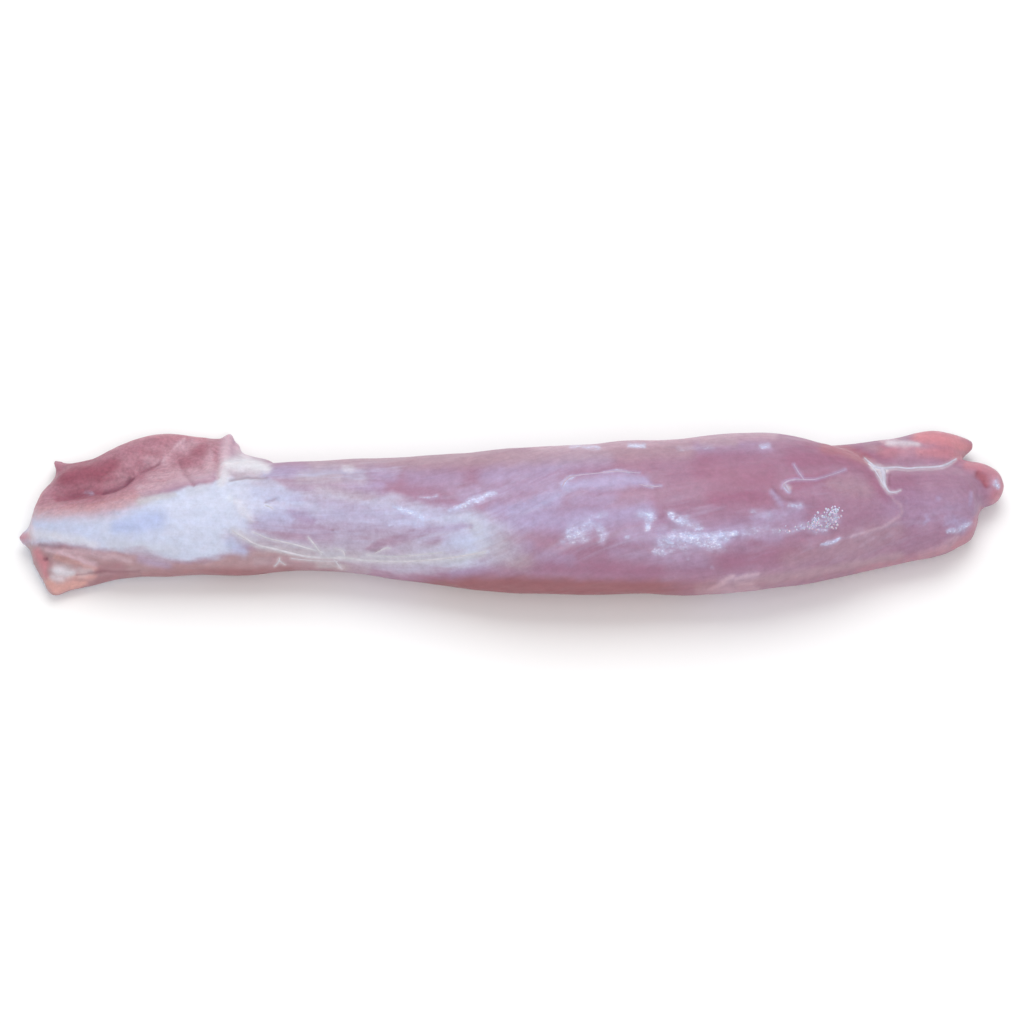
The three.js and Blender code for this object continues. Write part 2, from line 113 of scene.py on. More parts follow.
MARKS = {
    "fat": (
        (1.0, ((-97.5, 16, 2.6), (-93, 16.4, 3.6), (-88, 15.6, 3.2), (-84.6, 15, 1.8))),
        (0.8, ((-98.6, 13.6, 2.2), (-100, 10.5, 1.8))),
        (0.5, ((-58.2, 15.4, 1), (-55.6, 15.2, 1.6))),
        (0.75, ((-156.4, -20.2, 2), (-153.4, -20.4, 2.4), (-151.6, -20.6, 1.6))),
        (0.5, ((-158, -22.8, 1.3), (-155, -23, 1.4))),
        (0.35, ((-148.6, -20.6, 1.8), (-145, -20.4, 1.2))),
        (0.55, ((-165, -7.6, 1.8), (-157, -8.4, 2), (-150, -9.6, 2), (-144, -11.2, 1.4))),
        # Along the top of the strip: a painted highlight, drawn as fat.
        (0.6, ((129.6, 23.8, 0.9), (135, 23.4, 1.4), (139.6, 23.2, 1))),
        (0.85, ((122.9, 17, 0.6), (125, 15.4, 1.4), (128.8, 14.8, 1.2))),
        (0.75, ((126.6, 13.6, 1), (127.4, 11.4, 0.9), (128.3, 8.8, 0.6))),
        (0.5, ((95, 8.6, 1.2),)),
        (0.45, ((-97, 5, 1.2), (-94.4, 2.6, 1.8), (-91.6, -0.4, 1.9), (-89.6, -3, 1.2))),
    ),
    "blush": (
        (0.75, ((-97.6, 26, 1.7), (-98.8, 20, 2), (-100.4, 12.5, 2.2))),
        (0.6, ((-94.5, 22, 2.6), (-91.5, 19.6, 2))),
        (0.5, ((-104, 20, 2), (-104.6, 14.6, 2.4), (-104.6, 11.6, 2))),
        (0.4, ((-118, 18.6, 2.4), (-114.4, 21.4, 2.6), (-110, 23.4, 1.8))),
        (0.6, ((-120.4, 17, 0.8), (-117.6, 19.6, 1.1), (-115.2, 22.6, 1.1), (-112.7, 24.8, 0.7))),
        (0.4, ((-125, 17.6, 1.8), (-119, 16.4, 2))),
        (0.3, ((130.9, 5.7, 0.5), (133.8, 2.8, 0.6), (134.5, 0.2, 0.6), (133, -1.9, 0.6), (128.3, -4.5, 0.6),
               (121.8, -7.4, 0.5), (116.4, -8.8, 0.4))),
        (0.55, ((67.6, -26.8, 0.8), (71.6, -25.2, 1), (73.8, -23.2, 1), (76, -22.2, 0.7))),
        (0.5, ((77, -23.2, 0.7), (81.4, -21.8, 0.9), (85, -21.2, 0.6))),
        (0.4, ((77.4, -25, 0.7), (83, -24.4, 0.6))),
        # Along the top rim: a pale band, partly pale membrane and partly painted light on the upturned top.
        (0.35, ((8, 22, 1.8), (30, 23.2, 1.8), (50, 24.4, 1.8), (70, 26, 1.8), (90, 26.6, 1.6))),
        (0.4, ((64, -27.4, 1.2), (74, -27.2, 1.3), (84, -26, 1.1))),
        (0.35, ((141, -15, 1.6), (148, -12.6, 1.8), (153, -9, 1.4))),
        (0.5, ((-128, 8, 1.8), (-120, 9.6, 2), (-112, 11.4, 2), (-105, 12.4, 2))),
        (0.4, ((-124, 11.6, 2.2), (-115, 13.6, 2.2), (-108, 14, 2))),
        (0.6, ((127.5, 24.4, 1), (131.5, 24, 1.2))),
        (0.75, ((-159.8, -13, 1), (-153, -14.8, 1.3), (-148, -16.6, 1.4), (-143.8, -18, 1))),
        (0.5, ((-150, -17, 0.8), (-143.8, -19, 0.8))),
        (0.5, ((-154, -13, 1), (-148, -14, 1.2), (-140, -15, 1.2), (-132, -16.6, 1))),
        (0.5, ((-165, -9, 1.5), (-166, -4, 1.5))),
    ),
    "cream": (
        (0.7, ((-128, 3.6, 1.5), (-122, 5, 1.4), (-116, 6.4, 0.8))),
        (0.35, ((-72, 12, 2.6), (-62, 12.6, 3.4), (-52, 12, 3))),
        (0.3, ((-66, 8, 2), (-56, 6.6, 2.4), (-48, 5.6, 2))),
        (0.3, ((-6, -9, 5), (-2, -14, 5), (4, -17, 4))),
        (0.48, ((-96, -6.6, 1.4), (-88, -10.8, 1.8), (-80, -12, 2.2), (-70, -13.8, 2.6), (-60, -15, 2.6),
                (-48, -16.2, 2.2), (-34, -16.6, 2), (-20, -16, 1.8), (-10, -14.6, 1.4))),
        (0.35, ((-66, -17.6, 1.8), (-60, -18.4, 1.8), (-50, -20, 1.6))),
        (0.3, ((-13, -5, 3), (-9, -11, 3.4))),
        (0.25, ((-138, -11.4, 2), (-124, -12.6, 2.2), (-116, -13.4, 2))),
        (0.3, ((-111, 7.2, 1.6), (-106, 8.4, 1.6))),
    ),
    "flesh": (
        (0.8, ((-154, 11.6, 3.4), (-148, 13.4, 5), (-141, 13.6, 4.6), (-137.4, 15.8, 3))),
        (0.65, ((-156, 5.4, 2.4), (-150, 5.8, 2.8), (-142, 6.4, 2.6))),
        (0.12, ((-131, 20.6, 3), (-122, 23, 2.8))),
        (0.3, ((-127.4, 21, 2), (-122, 19.6, 2))),
        (0.7, ((108, 22, 2.2), (115, 21, 2.4), (121.4, 18.4, 2.2))),
        (0.2, ((-152, -23.4, 1.6), (-147, -23, 1.6))),
        (0.15, ((-82, -16.4, 1.8), (-70, -17.2, 1.8))),
        (0.25, ((127, 20.6, 2), (132, 20.4, 2))),
        (0.35, ((-146, -21, 1.8), (-140, -19.6, 2), (-134, -19.6, 1.6))),
        (0.45, ((-109.5, 21, 2.2), (-105.6, 20.6, 2.4))),
        (0.35, ((-117, 20, 2.4), (-112, 17, 2.2))),
        (0.25, ((-162, -15.4, 1.8), (-160, -18.6, 1.8))),
        (0.3, ((-143, -23.4, 1.4), (-138, -22.4, 1.6), (-133, -21.2, 1.4))),
        (0.95, ((160.8, 13.4, 1.1), (162.6, 11.8, 1.6), (163.4, 9.4, 1.4))),
    ),
    "rose": (
        (0.85, ((66, 15, 5), (76, 12, 6), (88, 12, 6))),
        (0.85, ((70, 5, 4), (80, 6, 4), (87, 4, 4))),
        (0.85, ((97, 18, 4), (106, 18, 4), (114, 19, 3))),
        (0.9, ((108, 19, 3), (118, 17.4, 3.4), (121.6, 15, 2.4), (125, 10.6, 2.4), (129, 5, 2.2))),
        (0.6, ((122, 20, 2.4), (128, 18.4, 2), (131, 20.4, 2))),
        (0.2, ((24, 17, 3.4), (48, 17.4, 3.4))),
        (0.5, ((48.4, 3, 2),)),
        (0.35, ((83, -11.4, 1.8), (88, -11.2, 1.4), (100, -10, 1.4))),
        (0.6, ((74, -17.4, 3), (84, -16, 3), (100, -13, 3))),
        (0.4, ((-74.6, 9.6, 1.5), (-73, 8.8, 1))),
        (0.25, ((-62, 8.6, 1.6), (-53, 8.4, 1.8))),
        (0.35, ((-44, 9, 2.4), (-34, 8, 3), (-26, 6.6, 3))),
        (0.4, ((130, 10, 3), (136, 11, 3))),
        (0.35, ((102, -3, 3), (106, -1, 3.4), (110.4, -2, 3.6))),
        (0.6, ((28, -19, 3), (38, -19.6, 3), (50, -20, 2.6))),
        (0.5, ((14, -18.6, 2.6), (24, -19, 2.6))),
        (0.8, ((102, 22.6, 2), (118, 21, 2))),
        (0.85, ((96, 10, 2.8), (108, 12, 3))),
    ),
    "pink": (
        (1.0, ((140, 26.4, 2.6), (146, 26, 3.4), (152, 24.4, 3.6), (156.8, 22, 2.8))),
        (0.7, ((140, 20.6, 2), (147, 20.8, 2.4), (152, 20.4, 2.6), (157, 19, 2.4))),
        (0.35, ((128, 21, 2.6), (140, 21, 2.6))),
        (0.3, ((108, 22, 2), (115, 21, 2.2), (121.4, 18.4, 1.8))),
        (0.4, ((160, 15, 1.6), (164, 11, 2.2))),
        (0.3, ((122, 19, 0.9), (125, 17.6, 0.8))),
        (0.65, ((157, 16.4, 2), (163, 15.4, 2.8), (167.6, 12.5, 3.2), (169, 9, 3), (167, 4.6, 3))),
        (0.45, ((162, 1, 1.2), (160, -4, 1.3), (157.4, -8.6, 1.5), (152, -12.4, 1.3))),
        (0.25, ((150, -13, 1.8), (138, -16.6, 1.6), (120, -20.4, 1.4))),
        (0.75, ((-163.6, -14, 1.6), (-161.4, -18, 2), (-160.6, -22, 1.2))),
        (0.5, ((-157.4, 19.6, 1.2), (-158.6, 15, 1.2), (-162, 9, 1.6), (-165, 3, 1.8), (-167.6, -2, 1.6))),
        (0.7, ((-170.4, -8.4, 2.2), (-166.4, -8, 1.4))),
        (0.3, ((-150, 18.6, 1.2), (-140, 21.6, 1.2), (-128, 26, 1.2), (-118, 26.6, 1.2), (-106, 25, 1.2))),
    ),
    "salmon": (
        (0.3, ((-166, -0.6, 2.2), (-154, 0.4, 2.4), (-142, 1.6, 2.4), (-130, 4.6, 2.2))),
        (0.85, ((-159.8, -24.4, 1.6), (-157, -26.6, 2.6), (-151, -25.2, 2.2), (-147.6, -24.4, 1.2))),
        (0.6, ((-152, -22.8, 1.6), (-147.6, -21.8, 2), (-144.4, -22, 1.4))),
        (0.5, ((-157, -15.4, 1.1), (-150, -17.4, 1.1), (-144, -19.4, 1.1))),
    ),
    "haze": (
        (0.8, ((-88, 1, 5), (-70, 0, 5), (-52, -1, 5), (-30, -2, 5), (-10, -6, 6))),
        (0.85, ((-84, 13.6, 2.4), (-72, 13.4, 3), (-60, 14, 3), (-52, 13, 2.6))),
        (0.6, ((-80, 9.5, 3), (-62, 10, 3.4), (-46, 9, 3.2))),
        (0.55, ((-54, 14.4, 3), (-42, 13, 3.6))),
        (0.42, ((-34, 12, 4), (-20, 11, 4))),
        (0.6, ((-8, 12, 4), (6, 14, 5), (22, 18, 4), (32, 18.4, 3))),
        (0.5, ((-16, 6, 3.6), (2, 8, 4.4), (14, 11, 4))),
        (0.8, ((-6, 0.6, 3.6), (6, 1, 4.6), (14, 4, 5))),
        (0.95, ((18.6, 8.6, 2.6), (24, 9.6, 3), (32, 9.8, 3.6), (40, 11, 2.8), (46, 10.6, 2))),
        (0.8, ((-4, -4, 4), (8, -2.6, 4.4), (22, -2, 5), (34, -2, 5), (46, 0, 4))),
        (0.55, ((22, 4, 3.4), (34, 4, 3))),
        (0.5, ((151, -2.6, 3), (156, -4.4, 3))),
        (0.5, ((40, -7, 5), (60, -8, 5), (78, -7, 5))),
        (0.5, ((-20, -21, 1.8), (-5, -17, 2.8), (0, -14.6, 3.2), (6, -12, 2.4))),
        (0.5, ((-128, -16, 1.5), (-124, -17, 1.7), (-118, -18.6, 1.4))),
        (0.3, ((10, -15, 2.4), (20, -16.6, 2.4))),
        (0.3, ((36, -14, 3), (52, -16, 2.6), (66, -16.8, 2.6))),
        (0.4, ((84, -3, 3.4), (98, -1, 4))),
        (0.4, ((84, -8.6, 1.8), (92, -9, 2))),
        (0.3, ((64, 22.6, 2), (78, 23, 2), (88, 22.4, 2))),
        (0.25, ((132, 1, 6), (150, 1, 7), (157, 1, 5))),
        (0.55, ((146.8, 4.6, 1.4),)),
        (0.5, ((142.6, -0.9, 0.9), (143.2, -2.6, 0.9), (142.2, -4.1, 0.8))),
        (0.5, ((158, 6.4, 1), (157.8, 2.6, 1))),
        (0.6, ((89.5, 6.8, 1), (91.2, 4.2, 1.2), (93, 2.4, 1.2))),
        (0.4, ((71.6, -25, 1.4), (76, -23.5, 2), (84, -21.6, 1.2))),
        (0.3, ((-97, -10, 3), (-92, -12, 2.4))),
    ),
    "tan": (
        (0.4, ((110, 9.8, 2.4), (116, 9, 4), (121, 8, 3.6))),
        (0.4, ((122, 22.4, 1.6), (126, 22, 1.6))),
        (0.5, ((66, 24, 1.6), (76, 24, 1.8))),
        # Along the top: a paler band of tan membrane, partly painted light on the upturned top.
        (0.55, ((-68, 16.6, 2.6), (-40, 17.5, 3.4), (0, 19, 3.6), (30, 20, 3.4), (60, 21.5, 3))),
        (0.8, ((-88, -16.4, 2), (-76, -16.8, 2.2), (-66, -18, 2.2), (-58, -19.6, 1.8))),
        (0.55, ((64, -26, 1.8), (76, -24.6, 2.2), (96, -22, 2.2), (114, -19, 2), (134, -15, 1.6))),
        (0.35, ((96, -16, 4), (116, -12, 5), (132, -6, 4))),
        (0.4, ((-80, 10, 3), (-60, 11, 3))),
        (0.3, ((-6, -17, 3), (4, -17, 3))),
    ),
    "blue": (
        (1.0, ((-136, -5, 2.6), (-129, -4, 4.2), (-122.5, -2.4, 4))),
        (0.35, ((-163, -4.6, 2.4), (-152, -6, 3.4), (-144, -6.6, 2.6))),
        (0.55, ((-97.3, -11, 2), (-92.6, -13.6, 2))),
        (0.45, ((-88, 6.4, 2.6), (-80, 6, 3), (-74, 5, 2.4))),
        (0.4, ((-84, -1.4, 2.8), (-77, -2.6, 2.4))),
        (0.3, ((-22, -11, 2.2), (-14, -10, 2.4))),
        (0.2, ((0, 0, 2.4), (8, 3, 2.6), (14, 6, 2.8), (18, 8, 2))),
    ),
    "bare": (
        (0.4, ((-97, -9, 3), (-88, -10, 3), (-80, -10, 2.6))),
        (0.95, ((-76, -0.6, 1.9), (-72, -1.8, 2.6), (-69, -3.2, 1.8))),
        (0.8, ((-50, -12.6, 1), (-45, -10.6, 2), (-38, -8.6, 2.4), (-30, -6.8, 1.9), (-20, -5.2, 1.5),
               (-14, -4.6, 1))),
        (0.82, ((-88, -4.6, 3), (-76, -6.4, 4.8), (-64, -7.6, 3.8))),
        (0.5, ((-30, -9.8, 2), (-23, -9.2, 2))),
        (0.46, ((-62, -6, 4.4), (-50, -6.6, 4), (-40, -5.6, 3.6), (-30, -6, 3), (-16, -6.4, 2.6))),
        (0.3, ((-30, -0.4, 2), (-22, 0, 1.6))),
        (0.35, ((-60, -0.6, 2.2), (-50, -1, 2.2), (-44, -3, 1.8))),
        (0.3, ((-66, 3.6, 1.4), (-50, 1.6, 1.4))),
    ),
    "shade": (
        (0.75, ((-141, 7, 0.5), (-137, 8, 0.8), (-133.4, 10.2, 0.9), (-130.9, 12.3, 0.6))),
        (0.25, ((-152, 5.4, 0.7), (-147, 6, 0.6), (-143, 6.8, 0.6))),
        (0.4, ((-127.4, 14.6, 0.8), (-124, 15.6, 0.9), (-121.6, 16.6, 0.6))),
        (0.3, ((-114.6, 16.9, 0.6), (-112.4, 13.4, 0.7), (-109.6, 9.4, 0.5))),
        (0.2, ((-101.4, 20, 0.6), (-101.2, 12, 0.5))),
        (0.5, ((-97, 11.4, 0.6), (-94.8, 12.2, 0.8), (-90, 11.8, 0.6), (-84, 12, 0.6))),
        (0.7, ((-160.6, -16.2, 0.6),)),
        (0.3, ((-163.2, -11.6, 0.5), (-157.6, -12.2, 0.6), (-152, -12.8, 0.5))),
        (0.35, ((-150, -21.4, 0.4), (-144, -20.6, 0.5), (-136, -20.8, 0.5), (-128, -20.2, 0.4))),
        (0.4, ((-84.7, 3.4, 0.45), (-81.2, 4.4, 0.4))),
        (0.5, ((-62, -6.65, 0.5),)),
        (0.35, ((-49, -13.4, 0.5), (-45.4, -12.8, 0.5))),
        (0.3, ((130.4, 13.2, 0.5), (129.6, 9.6, 0.5))),
        (0.25, ((89.4, 8.6, 0.8), (92.8, 5, 0.9), (97, 4, 0.8))),
    ),
    "wisps": (
        (0.5, ((-30, 0, 6), (-14, 2, 7), (2, 5, 8), (16, 8, 7))),
        (0.8, ((-90, -4, 7), (-70, -3, 9), (-50, -3, 9), (-30, -6, 9), (-14, -8, 8))),
        (0.8, ((-84, 13, 3), (-60, 12, 4), (-40, 14, 3))),
        (0.5, ((-168, -3, 5), (-140, -4, 8), (-110, 0, 9), (-96, 0, 8))),
        (0.35, ((0, -8, 6), (20, -10, 6), (40, -12, 5), (60, -15, 4))),
        (0.4, ((56, 2, 4), (84, -3, 5), (100, 3, 4), (114, 8, 4))),
        (0.3, ((84, -15, 4), (110, -13, 5), (140, -6, 6), (154, 0, 6))),
    ),
    # Wet film marks: each makes the surface glossier and also lays painted sheen and painted glints on its
    # colour, so each is partly wet film and partly painted highlight, such as the glints along the top rim,
    # on the knob and on the flap.
    "wet": (
        (0.9, ((19.4, -8, 2.2), (22.4, -6.2, 3.4), (26, -4.4, 2.8))),
        (0.55, ((17.6, -9.8, 1.4), (21, -9.4, 2), (25.6, -9, 1.6))),
        (0.6, ((27.6, -1.6, 1.2), (32, -0.6, 1.2))),
        (0.65, ((30, -5, 1.8), (31.6, -7.6, 1.8), (31, -10, 1.6))),
        (0.8, ((39.6, -8.5, 1.1),)),
        (0.95, ((44.6, -0.9, 1.8), (47.4, -1.2, 1.8))),
        (0.95, ((47, -1.6, 2.4), (47, -3.6, 1.8), (46.6, -5.6, 1))),
        (0.95, ((54.8, -1, 1.8), (59, -3.4, 2.6), (63.6, -5, 1.8))),
        (0.3, ((51, -8, 1.6), (53, -6, 1.6))),
        (0.55, ((55, -6.8, 1.4), (58.6, -6, 1.5))),
        (0.6, ((102.6, -6.2, 1.5), (108, -6.4, 1.6))),
        (0.85, ((52, -10.2, 3), (57, -10, 4), (64, -10.2, 4.2), (70, -10, 3.4), (73.6, -8.6, 2.2))),
        (1.0, ((54, -8, 1.6), (62, -8.4, 1.8), (70, -8, 1.8), (76.4, -7.2, 1.4))),
        (0.7, ((50, -13.2, 1.8), (54, -13.2, 1.8))),
        (0.65, ((79.5, -7, 2), (84, -6.2, 2.4), (87.6, -6, 2))),
        (0.65, ((90, -6.6, 1.6), (95, -7, 1.4))),
        (0.7, ((96.6, -6.2, 1.6), (100.6, -4.8, 1.8))),
        (0.7, ((102.6, -5.4, 1.8), (106, -3.2, 2.6), (110.2, -2.6, 2.8))),
        (0.75, ((95.4, 2.4, 1), (99, 2, 1.3))),
        (0.5, ((83.2, 0.4, 1.2), (88, -1.4, 1.6))),
        (1.0, ((106.8, -11, 0.6), (109.6, -10.2, 0.9), (112.4, -8.8, 0.7))),
        (1.0, ((-40.6, 2, 0.8), (-36, 0.4, 1.5), (-31, -2, 1))),
        (0.55, ((-42, -4.4, 1.2), (-36, -4.4, 1.5), (-31, -4.4, 1.1))),
        (1.0, ((-21.6, 0.6, 0.9), (-18, 1.6, 1.2), (-14.4, 2.8, 1.6), (-11, 4.4, 1.6), (-7.4, 5.8, 1.2),
               (-5.2, 6.6, 0.6))),
        (0.6, ((-32.5, 5, 0.5), (-26, 5.4, 0.6))),
        (0.75, ((20.4, 22.6, 0.8), (30, 22.2, 0.7))),
        (0.95, ((40.4, 23, 0.8), (45.4, 22.8, 0.9))),
        (0.4, ((57, 21.8, 0.7), (69.3, 22.4, 0.8))),
        (0.95, ((85.6, 22.8, 0.7), (88.4, 23, 0.9))),
        (0.9, ((167, 10.2, 1.3), (167.4, 8.8, 1))),
        (0.5, ((-147, 6.8, 0.6), (-144.4, 6.6, 0.5))),
        (0.8, ((17.4, 9.4, 0.8), (18.8, 11.4, 0.9), (21, 12.4, 0.7))),
        (0.7, ((32, 13.6, 0.6), (36, 14.2, 0.7), (40, 13.8, 0.5))),
        (0.6, ((46.6, 9, 0.9), (48.4, 8.4, 0.7))),
        (0.7, ((93.8, 9, 0.9), (95.2, 7.4, 0.8))),
        (0.8, ((150.6, -6.6, 0.8), (154, -5.6, 1.4), (157.8, -4.2, 1.1))),
        (0.5, ((60.7, -15.8, 0.7),)),
        (0.5, ((69.3, -19.2, 0.7),)),
    ),
    "beads": (
        (1.0, ((102.6, -5, 1.8), (106, -3.6, 2.6), (109.6, -2.6, 3.2), (110.6, -0.6, 2.6))),
        (0.4, ((92, -6.4, 1.2), (97, -5.8, 1.6), (101, -5, 1.6))),
    ),
}

# Pressed in (minus) and raised (plus) lines, in mm of height instead of strength.
RELIEF = (
    (-0.35, ((-156, 4.8, 1.2), (-150, 5.6, 1.3), (-143, 6.8, 1.2))),
    (-1.0, ((-141, 7, 1), (-137, 8, 1.4), (-133.4, 10.2, 1.4), (-130.6, 12.4, 1))),
    (-0.5, ((-128, 14.4, 1.2), (-122, 16.4, 1.1))),
    (0.5, ((-141, 11.4, 1.8), (-134, 14.6, 1.8), (-128, 17.6, 1.6), (-121, 19.6, 1.4))),
    (0.35, ((-120.4, 17, 0.9), (-117.5, 20.5, 0.9), (-112.9, 25, 0.9))),
    (-0.5, ((-114.6, 16.9, 1.1), (-109.6, 9.4, 1))),
    (0.35, ((-104, 20, 1.6), (-103, 12, 1.4))),
    (-0.35, ((-101.2, 20, 1), (-101.2, 12, 0.9))),
    (0.5, ((-98.2, 24, 1.4), (-99.4, 14, 1.6))),
    (-0.7, ((-97, 11.4, 0.9), (-94, 12.1, 1), (-86, 12.4, 0.9))),
    (0.5, ((-97, 15.4, 2), (-92, 15.8, 2.4), (-86.5, 14.4, 1.8))),
    (-1.0, ((-160.6, -16.2, 1.1),)),
    (-0.5, ((-164, -11.6, 0.9), (-157.6, -11.5, 1), (-152, -12.8, 1), (-146, -13.8, 0.8))),
    (0.6, ((-159.8, -12.9, 0.8), (-153.4, -14.4, 1), (-148, -16.4, 1.1), (-143.6, -18.2, 0.9))),
    (-0.4, ((-157, -15.4, 0.8), (-150, -17.4, 0.8))),
    (0.6, ((-157.5, -19.6, 1.8), (-153.5, -20.2, 2.2), (-148.5, -21, 1.6))),
    (-0.3, ((-84.7, 3.4, 0.8), (-81.2, 4.4, 0.8))),
    (0.3, ((-95.4, 3.1, 1.2), (-92, -0.4, 1.2), (-89.4, -3.2, 0.8))),
    (-0.35, ((-74, -1, 1.2), (-69.6, -2, 1.3))),
    (-0.25, ((-49, -12.8, 1), (-42, -9.6, 1.6), (-30, -6.8, 1.4), (-15.6, -4.8, 1))),
    (0.3, ((-47.2, -14.2, 0.8), (-43, -12.4, 0.8))),
    (0.3, ((-96, -6.8, 1), (-87, -11.5, 1.2), (-76.8, -14, 1.2), (-67, -15.6, 1.2), (-46, -16.8, 1.1),
           (-27, -16.4, 1.1), (-10, -13.8, 1))),
    (0.25, ((22, 12.4, 1), (30, 12.6, 1.1), (35, 13.2, 1.1), (44, 12.6, 1), (47.6, 9.4, 0.8))),
    (0.22, ((28, 7.2, 0.9), (36, 7.4, 1), (42, 9, 1), (51, 8.8, 0.8))),
    (0.25, ((-4, 4, 1.1), (8, 9.5, 1.1), (16.5, 14.5, 0.9))),
    (0.22, ((0, 2, 1), (12, 6.4, 1.1), (17, 7.6, 0.8))),
    (0.2, ((4, -1.2, 0.9), (10, 0.6, 1), (16.8, 1, 0.9))),
    (-0.25, ((50, -6.4, 1), (62, -6.4, 1.1))),
    (0.3, ((52, -8, 1.4), (64, -9, 1.5), (77, -7.6, 1.4))),
    (0.3, ((93.4, 8.6, 0.9), (94, 10, 0.9), (97.6, 11.2, 0.9), (104.6, 11.1, 0.9), (114.7, 14.5, 0.8))),
    (0.3, ((89.5, 6.8, 1.1), (91.2, 4.2, 1.2), (93, 2.4, 1.1))),
    (-0.5, ((121.4, 18.8, 0.9), (123, 17.2, 1.1), (125, 15.4, 1.2), (130, 15.4, 1.1), (143.9, 15.2, 1.1),
            (148.3, 15.8, 1), (153, 18.2, 1))),
    (-0.3, ((125.8, 12.4, 1), (129.8, 6.6, 0.9))),
    (-1.0, ((160.5, 12.6, 1.4), (163.4, 10.4, 1.6), (163.8, 8.6, 1.3))),
    (0.3, ((150.6, -6.5, 0.9), (157.8, -4, 1))),
    (0.2, ((134, 2, 0.8), (133, -1.9, 0.8), (128.3, -4.5, 0.9), (116.4, -8.8, 0.9))),
    (-0.35, ((98, -8.6, 1), (106, -8, 1.2), (113, -7, 1))),
    (0.35, ((104, -11.6, 1), (112, -9.6, 1))),
)

# Loose tips that smoothing rounds off, drawn out again: where, how wide, and how far to the right and up.
TIPS = (
    (-156, 17.6, 2.2, -1.5, -0.2),
    (-97.4, 25.6, 1.5, 0.3, 1.0),
    (-94.4, 22.4, 1.8, 0.8, 0.6),
)

# ---- Drawing on the skin -----------------------------------------------------------------------

TURNED_AWAY = (-0.12, 0.1)  # marks fade in between these turns of the surface towards the camera
MARK_EDGE = 2.4             # how sharply a mark ends
CREASE_EDGE = 2             # how sharply a pressed or raised line ends
WAVER = 0.45                # mm, how far the edges of what is drawn wander
AXIS_Y = -2.0               # mm, the middle line that the fibres wind round
AXIS_Z = 12.0
FIBRE_RADIUS = 22.0
# How steeply the fibres climb towards the right, in degrees, at places along the muscle in mm.
FIBRE_SLOPE = ((-175, -3), (-90, -6), (-50, 2), (-20, 10), (0, 24), (20, 22), (45, 8), (80, 10), (110, 15),
               (140, 20), (175, 20))

# Large primes that mix a cell's place and a seed into a random number.
PLACE_PRIMES = (73856093, 19349663, 83492791)
SEED_PRIME = 7919
SCRAMBLE = 1274126177

# Patterns of noise that break up the tissues and the relief. Each is a sum of layers: how strong a
# layer is, the places it is laid on (the points or the fibres), how long, wide and high its grain is
# in mm, and its seed.
PATTERNS = {
    "shift across": ((1, "points", (4.5, 4.5, 4.5), 31), (0.6, "points", (1.9, 1.9, 1.9), 32)),
    "shift up": ((1, "points", (4.5, 4.5, 4.5), 33), (0.6, "points", (1.9, 1.9, 1.9), 34)),
    "strands": ((1, "grain", (22, 3, 3), 8),),
    "patches": ((1, "points", (26, 11, 11), 9),),
    "wander": ((1, "points", (9, 4, 4), 3), (0.5, "grain", (5, 1.6, 1.6), 4)),
    "wisps": ((1, "grain", (9, 2.4, 2.4), 5), (0.6, "points", (5, 3, 3), 6)),
    "fibres": ((1, "grain", (14, 1.9, 1.9), 21), (0.6, "grain", (8, 1.1, 1.1), 22)),
    "lumps": ((1, "points", (15, 8, 8), 23), (0.5, "points", (7, 4, 4), 24)),
    "pebbles": ((1, "points", (3, 2.2, 2.2), 25), (0.6, "points", (1.6, 1.6, 1.6), 26)),
    "wrinkles": ((1, "points", (4, 2.4, 2.4), 27),),
}


class Skin:
    """The meat's points, with the places that marks and patterns are drawn in, in mm."""

    def __init__(self, mesh):
        self.points = vectors(mesh.vertices, "co") / MM
        self.normals = vectors(mesh.vertex_normals, "vector")
        self.x, self.y, self.z = self.points.T
        self.grain = fibre_places(self)
        away = self.points - VIEW_TARGET
        depth = VIEW_DISTANCE - away @ VIEW_BACK
        self.u = away[:, 0] * VIEW_DISTANCE / depth
        self.v = away @ VIEW_UP * VIEW_DISTANCE / depth
        self.seen = ramp(self.normals @ VIEW_BACK, *TURNED_AWAY)


def vectors(items, field):
    """One vector of each of a mesh's items, in rows."""
    values = np.empty(len(items) * 3)
    items.foreach_get(field, values)
    return values.reshape(-1, 3)


def ramp(value, start, end):
    """Rises smoothly from 0 at start to 1 at end."""
    part = np.clip((value - start) / (end - start), 0, 1)
    return part * part * (3 - 2 * part)


def fibre_places(skin):
    """Points turned about the muscle's middle line, so that straight streaks follow the fibres."""
    along, slope = zip(*FIBRE_SLOPE)
    stations = np.arange(along[0], along[-1] + 1.0)
    turn = np.cumsum(np.tan(np.radians(np.interp(stations, along, slope)))) / FIBRE_RADIUS
    angle = np.interp(skin.x, stations, turn)
    y, z = skin.y - AXIS_Y, skin.z - AXIS_Z
    return np.stack((skin.x, y * np.cos(angle) - z * np.sin(angle), y * np.sin(angle) + z * np.cos(angle)), 1)


def lattice_noise(points, seed):
    """Smooth noise from -1 to 1, from random values on a lattice whose points are one apart."""
    cell = np.floor(points).astype(np.int64)
    fade = ramp(points - cell, 0, 1)
    total = np.zeros(len(points))
    for corner in np.ndindex(2, 2, 2):
        mixed = ((cell + corner) * PLACE_PRIMES).sum(axis=1) + seed * SEED_PRIME
        mixed = (mixed ^ (mixed >> 13)) * SCRAMBLE
        value = ((mixed ^ (mixed >> 16)) & 0xFFFF) / 32767.5 - 1
        total += value * np.where(corner, fade, 1 - fade).prod(axis=1)
    return total


def pattern(skin, name):
    """One of the patterns at each point, from below 0 to above it."""
    return sum(share * lattice_noise(getattr(skin, places) / size, seed)
               for share, places, size, seed in PATTERNS[name])


